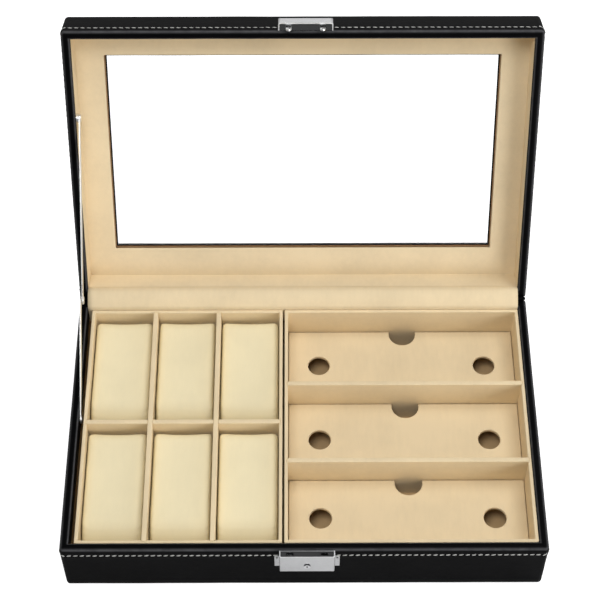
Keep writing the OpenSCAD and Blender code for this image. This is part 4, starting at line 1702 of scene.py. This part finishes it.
@dataclass
class HingeFold:
    """The leather's fold along the hinge line, outside the hinges, where the two skins meet."""

    inner_x: float = 124.0
    outer_x: float = 167.0
    radius: float = 1.42
    around: int = 16
    step: float = 1.5
    end: float = 1.0
    lump: float = 0.02
    lump_scale: float = 0.4
    side_shift: float = 5.0
    taper: tuple[Flat, ...] = ((0.0, 0.35), (0.35, 0.8))

    def stops(self) -> list[Flat]:
        """Lays out the fold's rings, which are thin at both ends.

        Returns:
            Each ring's X and its share of the radius.
        """
        length = self.outer_x - self.inner_x
        count = round(length / self.step)
        run = (length - 2 * self.end) / count
        full = [(self.inner_x + self.end + i * run, 1.0) for i in range(count + 1)]
        first = [(self.inner_x + off, share) for off, share in self.taper]
        last = [(self.outer_x - off, share) for off, share in reversed(self.taper)]
        return first + full + last

    def build(self, finishes: FinishBox, dresser: Dresser) -> None:
        """Makes the fold at both ends.

        Args:
            finishes: the finishes of the case.
            dresser: not used.
        """
        points: list[Colour] = []
        faces: list[Face] = []
        stops = self.stops()
        for side in Side:
            start = len(points)
            for x, share in stops:
                place = Vector((x * self.lump_scale, side.value * self.side_shift, 0))
                lump = self.lump * noise.noise(place)
                ring = arc(SIZES.axis, self.radius * share * (1 - self.lump + lump), 0, 360, self.around)
                points += [(side.value * x, y, z) for y, z in ring[:-1]]
            faces += between_rows(len(stops), self.around, ring=True, start=start)
            for first in (start, len(points) - self.around):
                faces.append(tuple(range(first, first + self.around)))
        piece = faced_out(piece_from("hinge_leather_fold", np.array(points), faces, finishes.leather))
        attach(piece, "base")


@dataclass
class Metalwork:
    """The lock, the hooks, the hinges and the stay."""

    stay: tuple[str, ...] = ("wall_rivet", "lower_link", "upper_link", "middle_rivet", "lid_rivet")
    lock: tuple[str, ...] = ("lock_back_plate", "lock_bolt")
    hinges: tuple[str, ...] = ("hinge_leaves", "hinge_screws")
    nails: tuple[str, ...] = ("lock_nails", "hasp_nails")
    ease_mm: float = 0.12
    edged_ease_mm: float = 0.3

    def build(self, finishes: FinishBox, dresser: Dresser) -> None:
        """Dresses the metal solids.

        Args:
            finishes: the finishes of the case.
            dresser: puts them on the solids that are kept.
        """
        for nodes, finish in (
            (("hinge_pins",), finishes.chrome),
            (("lock_cover",), finishes.lock_rim),
            (("hasp_cover",), finishes.hasp_rim),
            (("lock_plug",), finishes.plug),
            (self.lock, finishes.steel),
            ([f"{half}_{part}" for part in self.hinges for half in ("base", "lid")], finishes.steel),
            (self.nails, finishes.burnished),
            ([f"stay_{part}" for part in self.stay], finishes.satin),
        ):
            for node in nodes:
                dresser.dress(node, finish, self.ease_mm, 2)
        # The plates' eased edges get the pale satin plating, a painted highlight round the dark mirror.
        dresser.dress("lock_top_plate", finishes.lock_mirror, self.edged_ease_mm, 2, finishes.satin)
        dresser.dress("hasp_plate", finishes.hasp_mirror, self.edged_ease_mm, 2, finishes.satin)


# ---- studio ----


@dataclass
class Lamp:
    """One soft square lamp that hangs in the studio and points at the case, in metres and watts."""

    name: str
    place: Colour
    size: float
    power: float

    def hang(self, target: Vector) -> None:
        """Hangs the lamp.

        Args:
            target: where it points.
        """
        data = bpy.data.lights.new(self.name, "AREA")
        data.size = self.size
        data.energy = self.power
        lamp = linked(self.name, data)
        lamp.location = self.place
        lamp.rotation_euler = (target - Vector(self.place)).to_track_quat("-Z", "Y").to_euler()


@dataclass
class Studio:
    """The camera, the floor, the lamps and the pale surroundings."""

    focal_px: float = 1710.1
    image_px: float = 600.0
    sensor_mm: float = 36.0
    camera_mm: Colour = (-4.83, -647.77, 1092.19)
    pitch_deg: float = 55.426
    yaw_deg: float = 0.202
    roll_deg: float = 0.018
    shift_px: float = 40.0
    clip_m: Flat = (0.05, 50.0)
    backdrop_light: float = 0.62
    room_light: float = 0.16
    floor_colour: Colour = (0.8, 0.8, 0.8)
    floor_glow: float = 0.8
    mirrored_glow: float = 0.05
    floor_x: float = 1100.0
    floor_front: float = 800.0
    floor_back: float = 1600.0
    floor_drop: float = 0.2
    back_fall: Flat = (-0.1, 0.6)
    ceiling_fall: Flat = (0.1, 0.5)
    aim_m: Colour = (0.0, 0.0, 0.05)
    lamps: tuple[Lamp, ...] = (
        Lamp("key", (0.55, 0.25, 1.3), 0.6, 7.4),
        Lamp("overhead", (-0.2, -0.42, 1.45), 0.6, 9.0),
        Lamp("front", (1.0, -1.25, 0.34), 0.7, 12.0),
    )

    def camera(self) -> None:
        """Sets up the camera."""
        data = bpy.data.cameras.new("view")
        data.sensor_width = self.sensor_mm
        data.lens = self.focal_px / self.image_px * self.sensor_mm
        data.shift_y = self.shift_px / self.image_px
        data.clip_start, data.clip_end = self.clip_m
        pitch, yaw, roll = (math.radians(a) for a in (self.pitch_deg, self.yaw_deg, self.roll_deg))
        ahead = Vector((math.sin(yaw) * math.cos(pitch), math.cos(yaw) * math.cos(pitch), -math.sin(pitch)))
        right = Vector((math.cos(yaw), -math.sin(yaw), 0.0))
        up = right.cross(ahead)
        across = right * math.cos(roll) + up * math.sin(roll)
        upward = up * math.cos(roll) - right * math.sin(roll)
        turn = Matrix((across, upward, -ahead)).transposed().to_4x4()
        turn.translation = Vector(self.camera_mm) * MM
        camera = linked("view", data)
        camera.matrix_world = turn
        bpy.context.scene.camera = camera

    def floor(self) -> None:
        """Lays a large white floor under the case."""
        w = Wiring("floor_paper")
        mirrored = w.add("ShaderNodeLightPath").outputs["Is Glossy Ray"]
        glow = w.sum(w.math("MULTIPLY", w.seen_directly(), self.floor_glow), mirrored, self.mirrored_glow)
        w.surface(
            Base_Color=self.floor_colour,
            Roughness=0.9,
            Specular_IOR_Level=0.0,
            Emission_Color=WHITE,
            Emission_Strength=glow,
        )
        x, front, back, z = self.floor_x, -self.floor_front, self.floor_back, -self.floor_drop
        corners = np.array([(-x, front, z), (x, front, z), (x, back, z), (-x, back, z)])
        floor = piece_from("floor", corners, [(0, 1, 2, 3)], w.material)

    def world(self) -> None:
        """Sets up pale walls under a dark ceiling, which are white where they are seen directly."""
        world = bpy.data.worlds.new("surroundings")
        bpy.context.scene.world = world
        world.use_nodes = True
        graph = Graph(world.node_tree)
        way = graph.add("ShaderNodeTexCoord").outputs["Generated"]
        parts = graph.add("ShaderNodeSeparateXYZ", way).outputs
        falls = []
        back = ("Y", *self.back_fall, 0.0, self.backdrop_light)
        ceiling = ("Z", *self.ceiling_fall, 1.0, 0.0)
        for axis, *limits in (back, ceiling):
            fall = graph.add("ShaderNodeMapRange", parts[axis], *limits, interpolation_type="SMOOTHSTEP")
            falls.append(fall.outputs["Result"])
        light = graph.math("MULTIPLY_ADD", *falls, self.room_light)
        soft, white = (graph.add("ShaderNodeBackground", WHITE, strength) for strength in (light, 1.0))
        skies = (soft.outputs["Background"], white.outputs["Background"])
        mix = graph.add("ShaderNodeMixShader", graph.seen_directly(), *skies)
        graph.add("ShaderNodeOutputWorld", mix.outputs["Shader"])

    def build(self) -> None:
        """Sets up the whole studio."""
        self.camera()
        self.floor()
        self.world()
        for lamp in self.lamps:
            lamp.hang(Vector(self.aim_m))
        bpy.context.scene.view_settings.view_transform = "Standard"
        LOG.info("studio")


def main() -> None:
    """Builds every sub-assembly in order and reports it."""
    logging.basicConfig(level=logging.INFO, format="%(name)s: %(message)s")
    finishes = FinishBox()
    dresser = Dresser()
    Studio().build()
    for part in (BaseCase(), LidCase(), Trays(), Pillows(), HingeCloth(), HingeFold(), Metalwork()):
        part.build(finishes, dresser)
        LOG.info("%s done", type(part).__name__)


if __name__ == "__main__":
    main()
